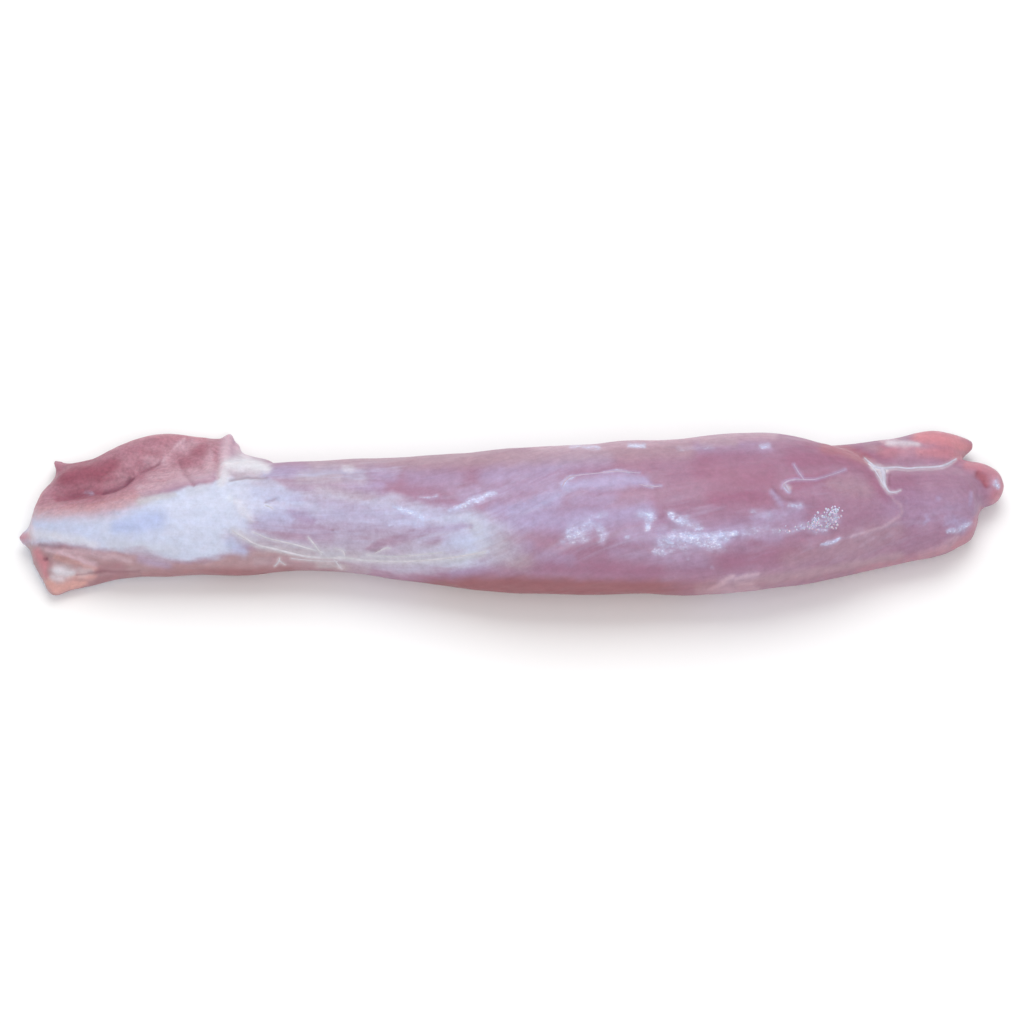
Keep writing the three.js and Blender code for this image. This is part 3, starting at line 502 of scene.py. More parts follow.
def mark_cover(skin, points, sharpness):
    """How much one mark covers each point: 1 along it, fading across its half width."""
    cover = np.zeros(len(skin.u))
    ends = points if len(points) > 1 else points * 2
    for (au, av, aw), (bu, bv, bw) in zip(ends, ends[1:]):
        run = max((bu - au) ** 2 + (bv - av) ** 2, 1e-9)
        share = np.clip(((skin.u - au) * (bu - au) + (skin.v - av) * (bv - av)) / run, 0, 1)
        off = np.hypot(skin.u - au - share * (bu - au), skin.v - av - share * (bv - av))
        cover = np.maximum(cover, np.exp(-(off / (aw + share * (bw - aw))) ** sharpness))
    return cover * skin.seen


def mark_mask(skin, marks):
    """How strongly a set of marks covers each point, where the strongest one counts."""
    cover = np.zeros(len(skin.u))
    for strength, points in marks:
        cover = np.maximum(cover, strength * mark_cover(skin, points, MARK_EDGE))
    return cover


def wavered(skin):
    """The skin with its drawing places shifted about, so that what is drawn on it has uneven edges."""
    shifted = copy.copy(skin)
    shifted.u = skin.u + WAVER * pattern(skin, "shift across")
    shifted.v = skin.v + WAVER * pattern(skin, "shift up")
    return shifted


def line(skin, points):
    """The height v of a line at each point's u."""
    places, heights = zip(*points)
    return np.interp(skin.u, places, heights)


# ---- Tissues -----------------------------------------------------------------------------------
# A pair is where a tissue starts and where it lies full, in mm across its edge unless it says more.

SILVER_FOOT_SOFT = (-1.8, 2.6)
SILVER_WISPS = (-92, -78)      # from here to the right the silverskin turns wispy
WISP_DEPTH = 0.5               # how much of the silverskin a gap between wisps takes away
WISP_GAPS = (0, 1.1)           # the values of the pattern between which a gap deepens
BARE_DEPTH = 0.85              # how much of it a bare mark takes away
SIDE_SOFT = (-1.6, 1.6)
SIDE_END = (50, 84)            # to the left of the middle
FLAP_END = (97, 102)           # to the left of the middle
UNDER_SOFT = (-1.8, 2.2)
HALO = 0.45                    # how much wider than a thread its halo of fat or haze is
HIDDEN_RAGGED = (6, 3)         # how far patches and strands shift the ends of the hidden tissues
HIDDEN_SILVER = (84, 104)      # to the left of the middle
HIDDEN_FLAP = (91, 101)        # to the left of the middle
HIDDEN_FLAP_FRONT = (4, 12)    # behind the middle


def silver_mask(skin, drawn):
    """How thick the silverskin lies at each point that is seen from the marked side."""
    wander = pattern(skin, "wander")
    above = line(drawn, SILVER_TOP) - drawn.v + 0.5 * wander
    below = drawn.v - line(drawn, SILVER_FOOT) + 1.2 * wander
    soft = line(skin, SILVER_SOFT)
    gaps = WISP_DEPTH * ramp(skin.u, *SILVER_WISPS) * ramp(pattern(skin, "wisps"), *WISP_GAPS)
    cover = line(skin, SILVER_COVER) * (1 - gaps)
    return ramp(above, -soft, soft) * ramp(below, *SILVER_FOOT_SOFT) * cover * skin.seen


def flap_mask(skin, drawn):
    """Where the flap behind the tendon end is seen."""
    soft = line(skin, FLAP_SOFT)
    return ramp(drawn.v - line(drawn, FLAP_FOOT), -soft, soft) * ramp(-skin.u, *FLAP_END) * skin.seen


def hidden_masks(skin):
    """The tissues of the sides where no mark is drawn."""
    strands, patches = pattern(skin, "strands"), pattern(skin, "patches")
    left = -skin.x + HIDDEN_RAGGED[0] * patches + HIDDEN_RAGGED[1] * strands
    return {
        "silver": 0.75 * ramp(left, *HIDDEN_SILVER) * ramp(strands + patches, -0.6, 0.5),
        "flap": ramp(left, *HIDDEN_FLAP) * ramp(skin.y, *HIDDEN_FLAP_FRONT),
        "haze": 0.45 * ramp(patches + 0.4 * strands, 0, 0.8),
        "rose": 0.6 * ramp(-patches + 0.3 * strands, 0, 0.8),
    }


def beside(paths, strength):
    """Marks along threads, a little wider than the threads, that tie them into the meat."""
    return [(strength, tuple((u, v, girth + HALO) for u, v, girth in path)) for path in paths]


def tissue_masks(skin):
    """How much of each tissue there is at each point."""
    drawn = wavered(skin)
    masks = {name: mark_mask(drawn, marks) for name, marks in MARKS.items()}
    masks["silver"] = silver_mask(skin, drawn) * (1 - BARE_DEPTH * masks.pop("bare"))
    below = line(drawn, SILVER_FOOT) - drawn.v
    masks["side"] = ramp(below, *SIDE_SOFT) * ramp(-skin.u, *SIDE_END) * skin.seen
    masks["flap"] = flap_mask(skin, drawn)
    # Painted shade: the sides turn darker and browner towards the underside.
    masks["edge"] = ramp(line(drawn, UNDER_SHADE_LINE) - drawn.v, *UNDER_SOFT) * line(skin, UNDER_SHADE_COVER)
    for tissue, strength, paths in (("fat", 0.35, SINEW_THREADS), ("fat", 0.4, SEAM_FAT),
                                    ("haze", 0.6, PALE_STRANDS)):
        masks[tissue] = np.maximum(masks[tissue], mark_mask(skin, beside(paths, strength)))
    for tissue, cover in hidden_masks(skin).items():
        masks[tissue] = np.maximum(masks[tissue], (1 - skin.seen) * cover)
    return masks


# ---- The meat's surface ------------------------------------------------------------------------

SAME_PLACE = 1e-6       # m, points nearer than this are one
FLAT_ENOUGH = 1.2       # radians, how unlike two triangles may be and still make one face
ROUNDING = 2            # levels of subdivision
FACET_ROUNDS = 5        # smoothing rounds that take the solid's facets away
FINE_ROUNDS = 3         # smoothing rounds after the marked side is cut finer
SPLIT_TURN = 0.05       # faces turned further towards the camera than this are cut finer
WRINKLE = 0.16          # mm, how high the fine wrinkles of torn meat stand
TABLE_FADE = (0.2, 3)   # mm above the table, over which the relief sets in


def object_with(data, name):
    piece = bpy.data.objects.new(name, data)
    bpy.context.scene.collection.objects.link(piece)
    return piece


def baked(piece, name):
    """The piece as its modifiers leave it, as a plain mesh; the piece itself is removed."""
    shown = piece.evaluated_get(bpy.context.evaluated_depsgraph_get())
    mesh = bpy.data.meshes.new_from_object(shown)
    mesh.name = name
    bpy.data.objects.remove(piece)
    return mesh


def even_surface(node, face_size):
    """A copy of the solid's surface as small even faces, rounded off."""
    work = bmesh.new()
    work.from_mesh(node.data)
    bmesh.ops.remove_doubles(work, verts=work.verts, dist=SAME_PLACE)
    bmesh.ops.join_triangles(work, faces=work.faces, angle_face_threshold=FLAT_ENOUGH,
                             angle_shape_threshold=FLAT_ENOUGH)
    mesh = bpy.data.meshes.new("meat surface")
    work.to_mesh(mesh)
    work.free()
    piece = object_with(mesh, "meat surface")
    rounding = piece.modifiers.new("Rounding", "SUBSURF")
    rounding.levels = rounding.render_levels = ROUNDING
    even = piece.modifiers.new("Even faces", "REMESH")
    even.mode = "VOXEL"
    even.voxel_size = face_size
    return baked(piece, "meat surface even")


def split_seen_faces(mesh):
    """Cuts the faces on the marked side in four, so that thin marks have points to lie on."""
    work = bmesh.new()
    work.from_mesh(mesh)
    towards = Vector(VIEW_BACK)
    edges = {edge for face in work.faces if face.normal.dot(towards) > SPLIT_TURN for edge in face.edges}
    bmesh.ops.subdivide_edges(work, edges=list(edges), cuts=1, use_grid_fill=True)
    work.to_mesh(mesh)
    work.free()


def relaxed(points, edges, rounds, pull=0.5, push=0.52):
    """Points with their small unevenness smoothed out, at no loss of the large form."""
    ends = np.concatenate((edges[:, 0], edges[:, 1]))
    others = np.concatenate((edges[:, 1], edges[:, 0]))
    degree = np.maximum(np.bincount(ends, minlength=len(points)), 1)
    for _ in range(rounds):
        for share in (pull, -push):
            near = [np.bincount(ends, weights=points[others, n], minlength=len(points)) for n in range(3)]
            points = points + share * (np.stack(near, axis=1) / degree[:, None] - points)
    return points


def relax(mesh, rounds):
    """Smooths a mesh's points in place."""
    edges = np.empty(len(mesh.edges) * 2, np.int32)
    mesh.edges.foreach_get("vertices", edges)
    set_points(mesh, relaxed(vectors(mesh.vertices, "co") / MM, edges.reshape(-1, 2), rounds))


def set_points(mesh, points_mm):
    """Moves the mesh's points, and keeps them on or above the table."""
    placed = points_mm.copy()
    placed[:, 2] = np.maximum(placed[:, 2], 0)
    mesh.vertices.foreach_set("co", (placed * MM).astype(np.float32).ravel())
    mesh.update()


def keep(mesh, name, values):
    """Stores a number or a vector for each point under a name that a material or a tree reads."""
    values = np.asarray(values, np.float32)
    kind, field = ("FLOAT", "value") if values.ndim == 1 else ("FLOAT_VECTOR", "vector")
    layer = mesh.attributes.get(name) or mesh.attributes.new(name, kind, "POINT")
    layer.data.foreach_set(field, values.ravel())


def drawn_out(skin):
    """The skin's points with the loose tips drawn out to their full length."""
    points = skin.points.copy()
    for u, v, reach, right, up in TIPS:
        share = np.exp(-((skin.u - u) ** 2 + (skin.v - v) ** 2) / reach ** 2)
        points += share[:, None] * (right * VIEW_RIGHT + up * VIEW_UP)
    return points


def pressed(skin, masks, settings):
    """How far each point moves along its normal, in mm."""
    tight = 1 - 0.7 * masks["silver"]
    height = settings.fibre_relief / MM * pattern(skin, "fibres") * tight
    height += settings.lump_relief / MM * pattern(skin, "lumps") * tight
    pebbled = np.maximum(masks["wet"], 0.5 * masks["haze"])
    height += settings.pebble_relief / MM * pattern(skin, "pebbles") * pebbled
    height += WRINKLE * pattern(skin, "wrinkles") * np.maximum(masks["flap"], masks["flesh"])
    for rise, points in RELIEF:
        height += rise * mark_cover(skin, points, CREASE_EDGE)
    return height * ramp(skin.z, *TABLE_FADE)


def build_meat(settings):
    """The meat's own piece, which stands for the solid."""
    mesh = even_surface(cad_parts[NODE], settings.face_size)
    relax(mesh, FACET_ROUNDS)
    split_seen_faces(mesh)
    relax(mesh, FINE_ROUNDS)
    skin = Skin(mesh)
    masks = tissue_masks(skin)
    set_points(mesh, drawn_out(skin) + skin.normals * pressed(skin, masks, settings)[:, None])
    for name, values in masks.items():
        keep(mesh, name, values)
    keep(mesh, "grain", skin.grain)
    mesh.shade_smooth()
    mesh.materials.clear()
    mesh.materials.append(meat_material(settings))
    return object_with(mesh, "meat")


# ---- Nodes -------------------------------------------------------------------------------------


def plug(tree, socket, value):
    """Gives a socket a value, or links another node's output to it."""
    if isinstance(value, bpy.types.NodeSocket):
        tree.links.new(value, socket)
    else:
        socket.default_value = value


def add(tree, kind, inputs=None, **settings):
    """A node with its settings and inputs; an input is a value or another node's output."""
    made = tree.nodes.new(kind)
    for name, value in settings.items():
        setattr(made, name, value)
    for name, value in (inputs or {}).items():
        plug(tree, made.inputs[name], value)
    return made


def maths(tree, operation, *values, clamp=False):
    made = add(tree, "ShaderNodeMath", dict(enumerate(values)), operation=operation, use_clamp=clamp)
    return made.outputs[0]


def vector_maths(tree, operation, inputs):
    return add(tree, "ShaderNodeVectorMath", inputs, operation=operation).outputs[0]


def fitted(tree, value, start, end, low=0.0, high=1.0):
    """A value's range from start to end, laid on the range from low to high."""
    inputs = {"Value": value, "From Min": start, "From Max": end, "To Min": low, "To Max": high}
    return add(tree, "ShaderNodeMapRange", inputs).outputs[0]


def blended(tree, share, first, second, blend="MIX"):
    """Two colours blended. A mix node has its colour sockets after those for numbers and vectors."""
    made = add(tree, "ShaderNodeMix", {0: share, 6: first, 7: second}, data_type="RGBA", blend_type=blend)
    return made.outputs[2]


def blended_value(tree, *parts):
    """The sum of several values, each times its own share."""
    total = 0.0
    for share, value in parts:
        total = maths(tree, "MULTIPLY_ADD", value, share, total)
    return total


def attribute(tree, name, output="Fac"):
    return add(tree, "ShaderNodeAttribute", attribute_name=name).outputs[output]


def noise(tree, places, scale, detail=2.0, roughness=0.5):
    inputs = {"Vector": places, "Scale": scale, "Detail": detail, "Roughness": roughness}
    return add(tree, "ShaderNodeTexNoise", inputs).outputs["Fac"]


def new_tree(kind, name, inputs, outputs):
    """A node group, with the sockets inside it that stand for its named inputs and outputs."""
    tree = bpy.data.node_groups.new(name, kind)
    for side, sockets in (("INPUT", inputs), ("OUTPUT", outputs)):
        for label, socket in sockets.items():
            tree.interface.new_socket(label, in_out=side, socket_type="NodeSocket" + socket)
    return tree, tree.nodes.new("NodeGroupInput").outputs, tree.nodes.new("NodeGroupOutput").inputs


def shared(name, build):
    """A node group that is built once and then found by its name."""
    return bpy.data.node_groups.get(name) or build(name)


def grouped(tree, name, build, inputs):
    """Places a shared group in a material, with that material's own values."""
    return add(tree, "ShaderNodeGroup", inputs, node_tree=shared(name, build)).outputs


def fibre_group(name):
    """Streaks along the fibres: places in mm, and how long and how wide a streak is."""
    tree, given, out = new_tree("ShaderNodeTree", name,
                                {"Places": "Vector", "Length": "Float", "Width": "Float"},
                                {"Streaks": "Float"})
    size = add(tree, "ShaderNodeCombineXYZ", {0: given["Length"], 1: given["Width"], 2: given["Width"]})
    scaled = vector_maths(tree, "DIVIDE", {0: given["Places"], 1: size.outputs[0]})
    plug(tree, out["Streaks"], noise(tree, scaled, 1.0, 3.0, 0.55))
    return tree


def feather_group(name):
    """A tissue's mask with its edge frayed by a pattern."""
    tree, given, out = new_tree("ShaderNodeTree", name,
                                {"Mask": "Float", "Pattern": "Float", "Fray": "Float"}, {"Mask": "Float"})
    unsure = maths(tree, "MULTIPLY", given["Mask"], maths(tree, "SUBTRACT", 1.0, given["Mask"]))
    shift = maths(tree, "MULTIPLY", maths(tree, "SUBTRACT", given["Pattern"], 0.5), given["Fray"])
    plug(tree, out["Mask"], maths(tree, "MULTIPLY_ADD", unsure, shift, given["Mask"], clamp=True))
    return tree


def wet_group(name):
    """A wet film: how smooth it makes the surface where it lies, how much painted sheen and how many painted
    glints pale it, and its fine grain.
    """
    tree, given, out = new_tree("ShaderNodeTree", name,
                                {"Places": "Vector", "Wet": "Float", "Dry roughness": "Float"},
                                {"Roughness": "Float", "Coat": "Float", "Gleam": "Float",
                                 "Flecks": "Float", "Grain": "Float"})
    stretched = vector_maths(tree, "MULTIPLY", {0: given["Places"], 1: (0.7, 1.0, 1.0)})
    patches = noise(tree, stretched, 0.4, 4.0, 0.58)
    specks = noise(tree, stretched, 0.85, 3.0, 0.55)
    points = noise(tree, stretched, 1.7, 2.0)
    # The wetter the place, the more of the patches hold a film, and the specks pit it.
    start = maths(tree, "MULTIPLY_ADD", given["Wet"], -0.26, 0.58)
    film = fitted(tree, patches, start, maths(tree, "ADD", start, 0.2))
    film = maths(tree, "MULTIPLY", film, fitted(tree, specks, 0.34, 0.62, 0.45, 1.0))
    film = maths(tree, "MULTIPLY", film, given["Wet"])
    gloss = maths(tree, "MULTIPLY", film, maths(tree, "SUBTRACT", given["Dry roughness"], WET_ROUGHNESS))
    plug(tree, out["Roughness"], maths(tree, "SUBTRACT", given["Dry roughness"], gloss))
    plug(tree, out["Coat"], maths(tree, "MULTIPLY_ADD", film, 0.6, 0.1, clamp=True))
    # Painted sheen: the wet places are paled all over, and more where the film lies; painted glints are paler
    # flecks.
    soft = maths(tree, "MULTIPLY", given["Wet"], 0.34)
    plug(tree, out["Gleam"], maths(tree, "MULTIPLY_ADD", film, 0.58, soft, clamp=True))
    plug(tree, out["Flecks"], maths(tree, "MULTIPLY", film, fitted(tree, points, 0.54, 0.68, 0.0, 0.75)))
    plug(tree, out["Grain"], film)
    return tree


# ---- Materials ---------------------------------------------------------------------------------
# In the meat's material sizes are in mm and the scale of a noise is per mm.

DRY_ROUGHNESS = 0.46
WET_ROUGHNESS = 0.26
CLOUD = 16.0            # mm
BUNDLE = (24.0, 3.4)    # mm, how long and how wide a bundle of fibres is
STRAND = (9.0, 1.1)
WISP = (26.0, 3.2)

# The tissues in the order they lie over the lean meat, each with how frayed its edge is; the edge layer is
# painted shade towards the underside, and the shade layer is painted shade in slits and creases.
TISSUES = {"side": 3.0, "rose": 3.0, "haze": 3.6, "tan": 3.0, "silver": 3.4, "blue": 1.5, "flap": 1.6,
           "blush": 2.4, "flesh": 3.2, "edge": 2.4, "pink": 2.4, "salmon": 1.6, "cream": 3.4, "fat": 1.8,
           "shade": 1.0}


def new_material(name, finish):
    """A material, with the shader's values that are the same all over the surface."""
    material = bpy.data.materials.new(name)
    material.use_nodes = True
    shader = material.node_tree.nodes["Principled BSDF"].inputs
    for label, value in finish.items():
        shader[label].default_value = value
    return material, material.node_tree, shader


def object_places(tree):
    return add(tree, "ShaderNodeTexCoord").outputs["Object"]


def bumped(tree, height, settings):
    """The surface's normal with a fine grain of this height."""
    inputs = {"Strength": 1.0, "Distance": settings.skin_grain, "Height": height}
    return add(tree, "ShaderNodeBump", inputs).outputs[0]


def darker(base, share):
    return tuple(share * part for part in base[:3]) + (1.0,)


def streaks(tree, grain, size):
    inputs = {"Places": grain, "Length": size[0], "Width": size[1]}
    return grouped(tree, "Fibres", fibre_group, inputs)["Streaks"]


def lean_colour(tree, settings, places, bundles):
    """Lean meat, darker in clouds and along some bundles of its fibres."""
    clouds = fitted(tree, noise(tree, places, 1 / CLOUD, 3.0), 0.3, 0.7)
    depth = blended_value(tree, (0.55, clouds), (0.45, fitted(tree, bundles, 0.3, 0.7)))
    return blended(tree, depth, settings.muscle_colour, settings.muscle_deep_colour)


def tissue_colour(tree, settings, lean, fray):
    """The colour of the lean meat with each tissue laid over it in turn."""
    now = lean
    for name, amount in TISSUES.items():
        inputs = {"Mask": attribute(tree, name), "Pattern": fray, "Fray": amount}
        mask = grouped(tree, "Feathered mask", feather_group, inputs)["Mask"]
        now = blended(tree, mask, now, getattr(settings, name + "_colour"))
    return now


def membrane_and_painted_sheen_colour(tree, settings, under, film, threads):
    """A colour with wisps of membrane over it, and the painted sheen and painted glints of the wet film."""
    wisps = maths(tree, "MULTIPLY", attribute(tree, "wisps"), fitted(tree, threads, 0.48, 0.78, 0.0, 0.6))
    now = blended(tree, wisps, under, settings.membrane_and_painted_sheen_colour)
    now = blended(tree, film["Gleam"], now, settings.membrane_and_painted_sheen_colour)
    return blended(tree, film["Flecks"], now, settings.painted_glint_colour)


def meat_tone(tree, places, strands, mottle):
    """How much lighter or darker the meat is from place to place, and more so on the torn flap."""
    tone = maths(tree, "ADD", fitted(tree, strands, 0.25, 0.75, -0.035, 0.035),
                 fitted(tree, mottle, 0.25, 0.75, 0.85, 1.15))
    torn = fitted(tree, noise(tree, places, 0.9, 3.0, 0.6), 0.3, 0.7, -0.15, 0.15)
    return maths(tree, "MULTIPLY_ADD", attribute(tree, "flap"), torn, tone)


def meat_material(settings):
    material, tree, shader = new_material("Raw pork", {
        "Subsurface Weight": 0.3, "Subsurface Radius": (1.0, 0.5, 0.45), "Subsurface Scale": 0.0014,
        "Specular IOR Level": 0.35, "Coat Roughness": 0.16})
    grain = attribute(tree, "grain", "Vector")
    places = vector_maths(tree, "SCALE", {0: object_places(tree), "Scale": 1 / MM})
    bundles, strands, threads = (streaks(tree, grain, size) for size in (BUNDLE, STRAND, WISP))
    mottle = noise(tree, places, 0.32, 5.0, 0.78)
    film = grouped(tree, "Wet film", wet_group,
                   {"Places": places, "Wet": attribute(tree, "wet"), "Dry roughness": DRY_ROUGHNESS})

    fray = blended_value(tree, (0.4, bundles), (0.25, strands), (0.35, mottle))
    now = tissue_colour(tree, settings, lean_colour(tree, settings, places, bundles), fray)
    now = membrane_and_painted_sheen_colour(tree, settings, now, film, threads)
    now = blended(tree, 1.0, now, meat_tone(tree, places, strands, mottle), "MULTIPLY")
    height = blended_value(tree, (1.6, film["Grain"]), (0.3, strands), (0.8, mottle))
    plug(tree, shader["Base Color"], now)
    plug(tree, shader["Roughness"], film["Roughness"])
    plug(tree, shader["Coat Weight"], film["Coat"])
    plug(tree, shader["Normal"], bumped(tree, height, settings))
    return material


def thread_material(name, base, settings):
    """Fat, sinew or membrane: one colour that pales and darkens along the piece."""
    material, tree, shader = new_material(name, {
        "Roughness": 0.4, "Coat Weight": 0.3, "Coat Roughness": 0.2, "Subsurface Weight": 0.15,
        "Subsurface Radius": (1.0, 0.8, 0.8), "Subsurface Scale": 0.001})
    patches = noise(tree, object_places(tree), 420.0, 3.0)
    share = fitted(tree, patches, 0.35, 0.65)
    plug(tree, shader["Base Color"], blended(tree, share, base, darker(base, 0.82)))
    plug(tree, shader["Normal"], bumped(tree, patches, settings))
    return material


def bead_material(settings):
    """Moisture, painted pale as a painted highlight, as a small drop looks on meat, with the lean meat
    showing in some.
    """
    material, tree, shader = new_material("Moisture", {
        "Roughness": 0.22, "Coat Weight": 0.6, "Coat Roughness": 0.08, "Subsurface Weight": 0.5,
        "Subsurface Scale": 0.001})
    share = fitted(tree, noise(tree, object_places(tree), 300.0), 0.35, 0.65, 0.0, 0.5)
    plug(tree, shader["Base Color"], blended(tree, share, settings.bead_glint_colour, settings.rose_colour))
    return material


# ---- Threads, seams and curls ------------------------------------------------------------------
# Each is drawn as marks are, with its half thickness at each point.

SINEW_THREADS = (
    ((-96.2, -6.6, 0.14), (-92.3, -8.9, 0.28), (-87.7, -11.6, 0.38), (-82, -12.7, 0.4), (-76.4, -14.2, 0.42),
     (-70, -15.6, 0.44), (-62, -15.8, 0.46), (-56, -16, 0.42)),
    ((-89.3, -6.9, 0.12), (-83.9, -9.3, 0.22), (-76.4, -10.8, 0.26), (-70, -12.6, 0.28), (-65, -14, 0.3)),
    ((-76, -16, 0.16), (-68, -16.8, 0.24), (-60, -17, 0.26)),
    ((-60, -15.4, 0.36), (-52, -16.6, 0.42), (-44, -17, 0.4), (-36, -17, 0.4), (-28, -16.6, 0.36),
     (-20, -15.6, 0.34), (-14, -14.6, 0.26), (-9, -13.6, 0.14)),
    ((-50, -14.9, 0.14), (-42, -15.6, 0.22), (-32, -14.8, 0.2), (-24, -14, 0.14)),
    ((-70.2, -8.6, 0.16), (-68.6, -10.6, 0.3), (-66.6, -13.2, 0.34), (-65.6, -14.8, 0.3)),
    ((-61, -12.6, 0.12), (-58.2, -13.2, 0.28), (-57.6, -15, 0.2)),
    ((-61.4, -16.2, 0.2), (-60, -18, 0.26), (-58.6, -19.6, 0.14)),
    ((-80, -15.8, 0.14), (-80.2, -17, 0.28), (-81.6, -18.6, 0.14)),
    ((-80.4, -16.6, 0.26), (-78.1, -18.2, 0.14)),
    ((-85, 2.3, 0.12), (-83.4, 1.8, 0.24), (-82.2, 1, 0.12)),
    ((-47.2, -14.2, 0.12), (-44.6, -12.9, 0.26), (-43, -12.2, 0.26), (-42, -12.6, 0.12)),
)

PALE_STRANDS = (
    ((17.3, 8.8, 0.2), (18.2, 10.8, 0.36), (20, 12.2, 0.36), (24, 12.9, 0.26), (30, 13.4, 0.24),
     (34.6, 14.1, 0.32), (38, 14, 0.26), (44, 13.4, 0.18)),
    ((43.6, 9.6, 0.12), (47.3, 8.7, 0.26), (51.5, 8.9, 0.14)),
    ((93.2, 8.4, 0.2), (93.6, 9.8, 0.42), (95.2, 10.7, 0.34), (97.6, 11.2, 0.22), (100.5, 11.1, 0.19),
     (104.6, 11.1, 0.16), (110.8, 13, 0.14), (114.7, 14.5, 0.1)),
    ((97, 16.5, 0.1), (98.6, 13.8, 0.17), (100.5, 11.2, 0.18)),
    ((93.6, 9.6, 0.4), (94.6, 7.9, 0.34), (95.6, 6.9, 0.16)),
)

SEAM_FAT = (
    ((121.4, 18.7, 0.16), (122.9, 17.3, 0.45), (124.7, 15.6, 0.8), (127.4, 14.9, 0.85), (130.1, 15.3, 0.55),
     (132.7, 15.5, 0.45), (136.3, 14.9, 0.5), (139.9, 15.4, 0.45), (143.9, 15.4, 0.5), (148.3, 15.8, 0.5),
     (150.8, 16.9, 0.4), (153, 18.4, 0.2)),
    ((127.8, 14.6, 0.9), (128, 12.6, 0.7), (128.1, 10.6, 0.55), (128.6, 8.6, 0.42), (129.9, 6.8, 0.3),
     (132.3, 6.8, 0.2), (133.8, 7.5, 0.1)),
    ((124.4, 15.4, 0.3), (125.7, 13.2, 0.24), (127.2, 10.8, 0.24), (128.4, 8.6, 0.2)),
)

CORNER_CUTS = 2      # how often a path's corners are cut
CUT = 0.25           # how far along each stretch a cut starts
THREAD_STEP = 0.5    # mm between the points of a thread
SUNK = 0.75          # how much of its half thickness a thread lies sunk in the meat
FULLNESS = 1.3       # how much thicker than it is drawn a thread is
BEAD_SEED = 11       # of the beads' places and sizes

# The pieces: each with its paths, how many sides its tubes have, its material and its colour.
THREAD_PIECES = (
    ("sinew_threads", SINEW_THREADS, 8, "Sinew", "sinew_colour"),
    ("pale_strands", PALE_STRANDS, 6, "Pale membrane", "strand_colour"),
    ("seam_fat", SEAM_FAT, 12, "Seam fat", "seam_colour"),
)


def smoothed(path):
    """A path with its corners cut, and its points one step apart."""
    points = np.array(path)
    for _ in range(CORNER_CUTS):
        near = (1 - CUT) * points[:-1] + CUT * points[1:]
        far = CUT * points[:-1] + (1 - CUT) * points[1:]
        middle = np.stack((near, far), 1).reshape(-1, points.shape[1])
        points = np.concatenate((points[:1], middle[1:-1], points[-1:]))
    run = np.concatenate(((0,), np.cumsum(np.hypot(*np.diff(points[:, :2], axis=0).T))))
    places = np.linspace(0, run[-1], max(3, int(run[-1] / THREAD_STEP)))
    return np.stack([np.interp(places, run, column) for column in points.T], 1)


def laid_on(tree, path):
    """A drawn path's points on the meat, in metres, with its half thickness at each."""
    camera = Vector(VIEW_TARGET) + Vector(VIEW_BACK) * VIEW_DISTANCE
    for u, v, girth in smoothed(path):
        drawn = Vector(VIEW_TARGET) + Vector(VIEW_RIGHT) * u + Vector(VIEW_UP) * v
        place, normal, _, _ = tree.ray_cast(camera * MM, (drawn - camera).normalized())
        if place is not None:
            yield place - normal * girth * MM * SUNK, girth * MM


def path_mesh(name, tree, paths):
    """A mesh of edges only, which holds every path with its girth."""
    points, edges, girths = [], [], []
    for path in paths:
        laid = list(laid_on(tree, path))
        edges += [(len(points) + n, len(points) + n + 1) for n in range(len(laid) - 1)]
        points += [place for place, _ in laid]
        girths += [girth for _, girth in laid]
    mesh = bpy.data.meshes.new(name)
    mesh.from_pydata(points, edges, [])
    keep(mesh, "girth", girths)
    return mesh


def geometry_tree(name, sizes):
    """A geometry tree with a material and sizes as its inputs."""
    inputs = {"Geometry": "Geometry", **sizes, "Material": "Material"}
    return new_tree("GeometryNodeTree", name, inputs, {"Geometry": "Geometry"})


def finish_tree(tree, given, out, geometry):
    """Every tree ends in real geometry with its material set."""
    real = add(tree, "GeometryNodeRealizeInstances", {"Geometry": geometry})
    smooth = add(tree, "GeometryNodeSetShadeSmooth", {"Geometry": real.outputs[0]})
    painted = add(tree, "GeometryNodeSetMaterial",
                  {"Geometry": smooth.outputs[0], "Material": given["Material"]})
    plug(tree, out["Geometry"], painted.outputs[0])
    return tree


def thread_tree(name):
    """Tubes along the edges of a mesh, as thick as its girth says."""
    tree, given, out = geometry_tree(name, {"Sides": "Int", "Thickness": "Float"})
    curve = add(tree, "GeometryNodeMeshToCurve", {"Mesh": given["Geometry"]})
    girth = add(tree, "GeometryNodeInputNamedAttribute", {"Name": "girth"}, data_type="FLOAT")
    ring = add(tree, "GeometryNodeCurvePrimitiveCircle", {"Resolution": given["Sides"], "Radius": 1.0})
    scale = maths(tree, "MULTIPLY", girth.outputs[0], given["Thickness"])
    tube = add(tree, "GeometryNodeCurveToMesh", {"Curve": curve.outputs[0], "Profile Curve": ring.outputs[0],
                                                 "Scale": scale, "Fill Caps": True})
    return finish_tree(tree, given, out, tube.outputs[0])


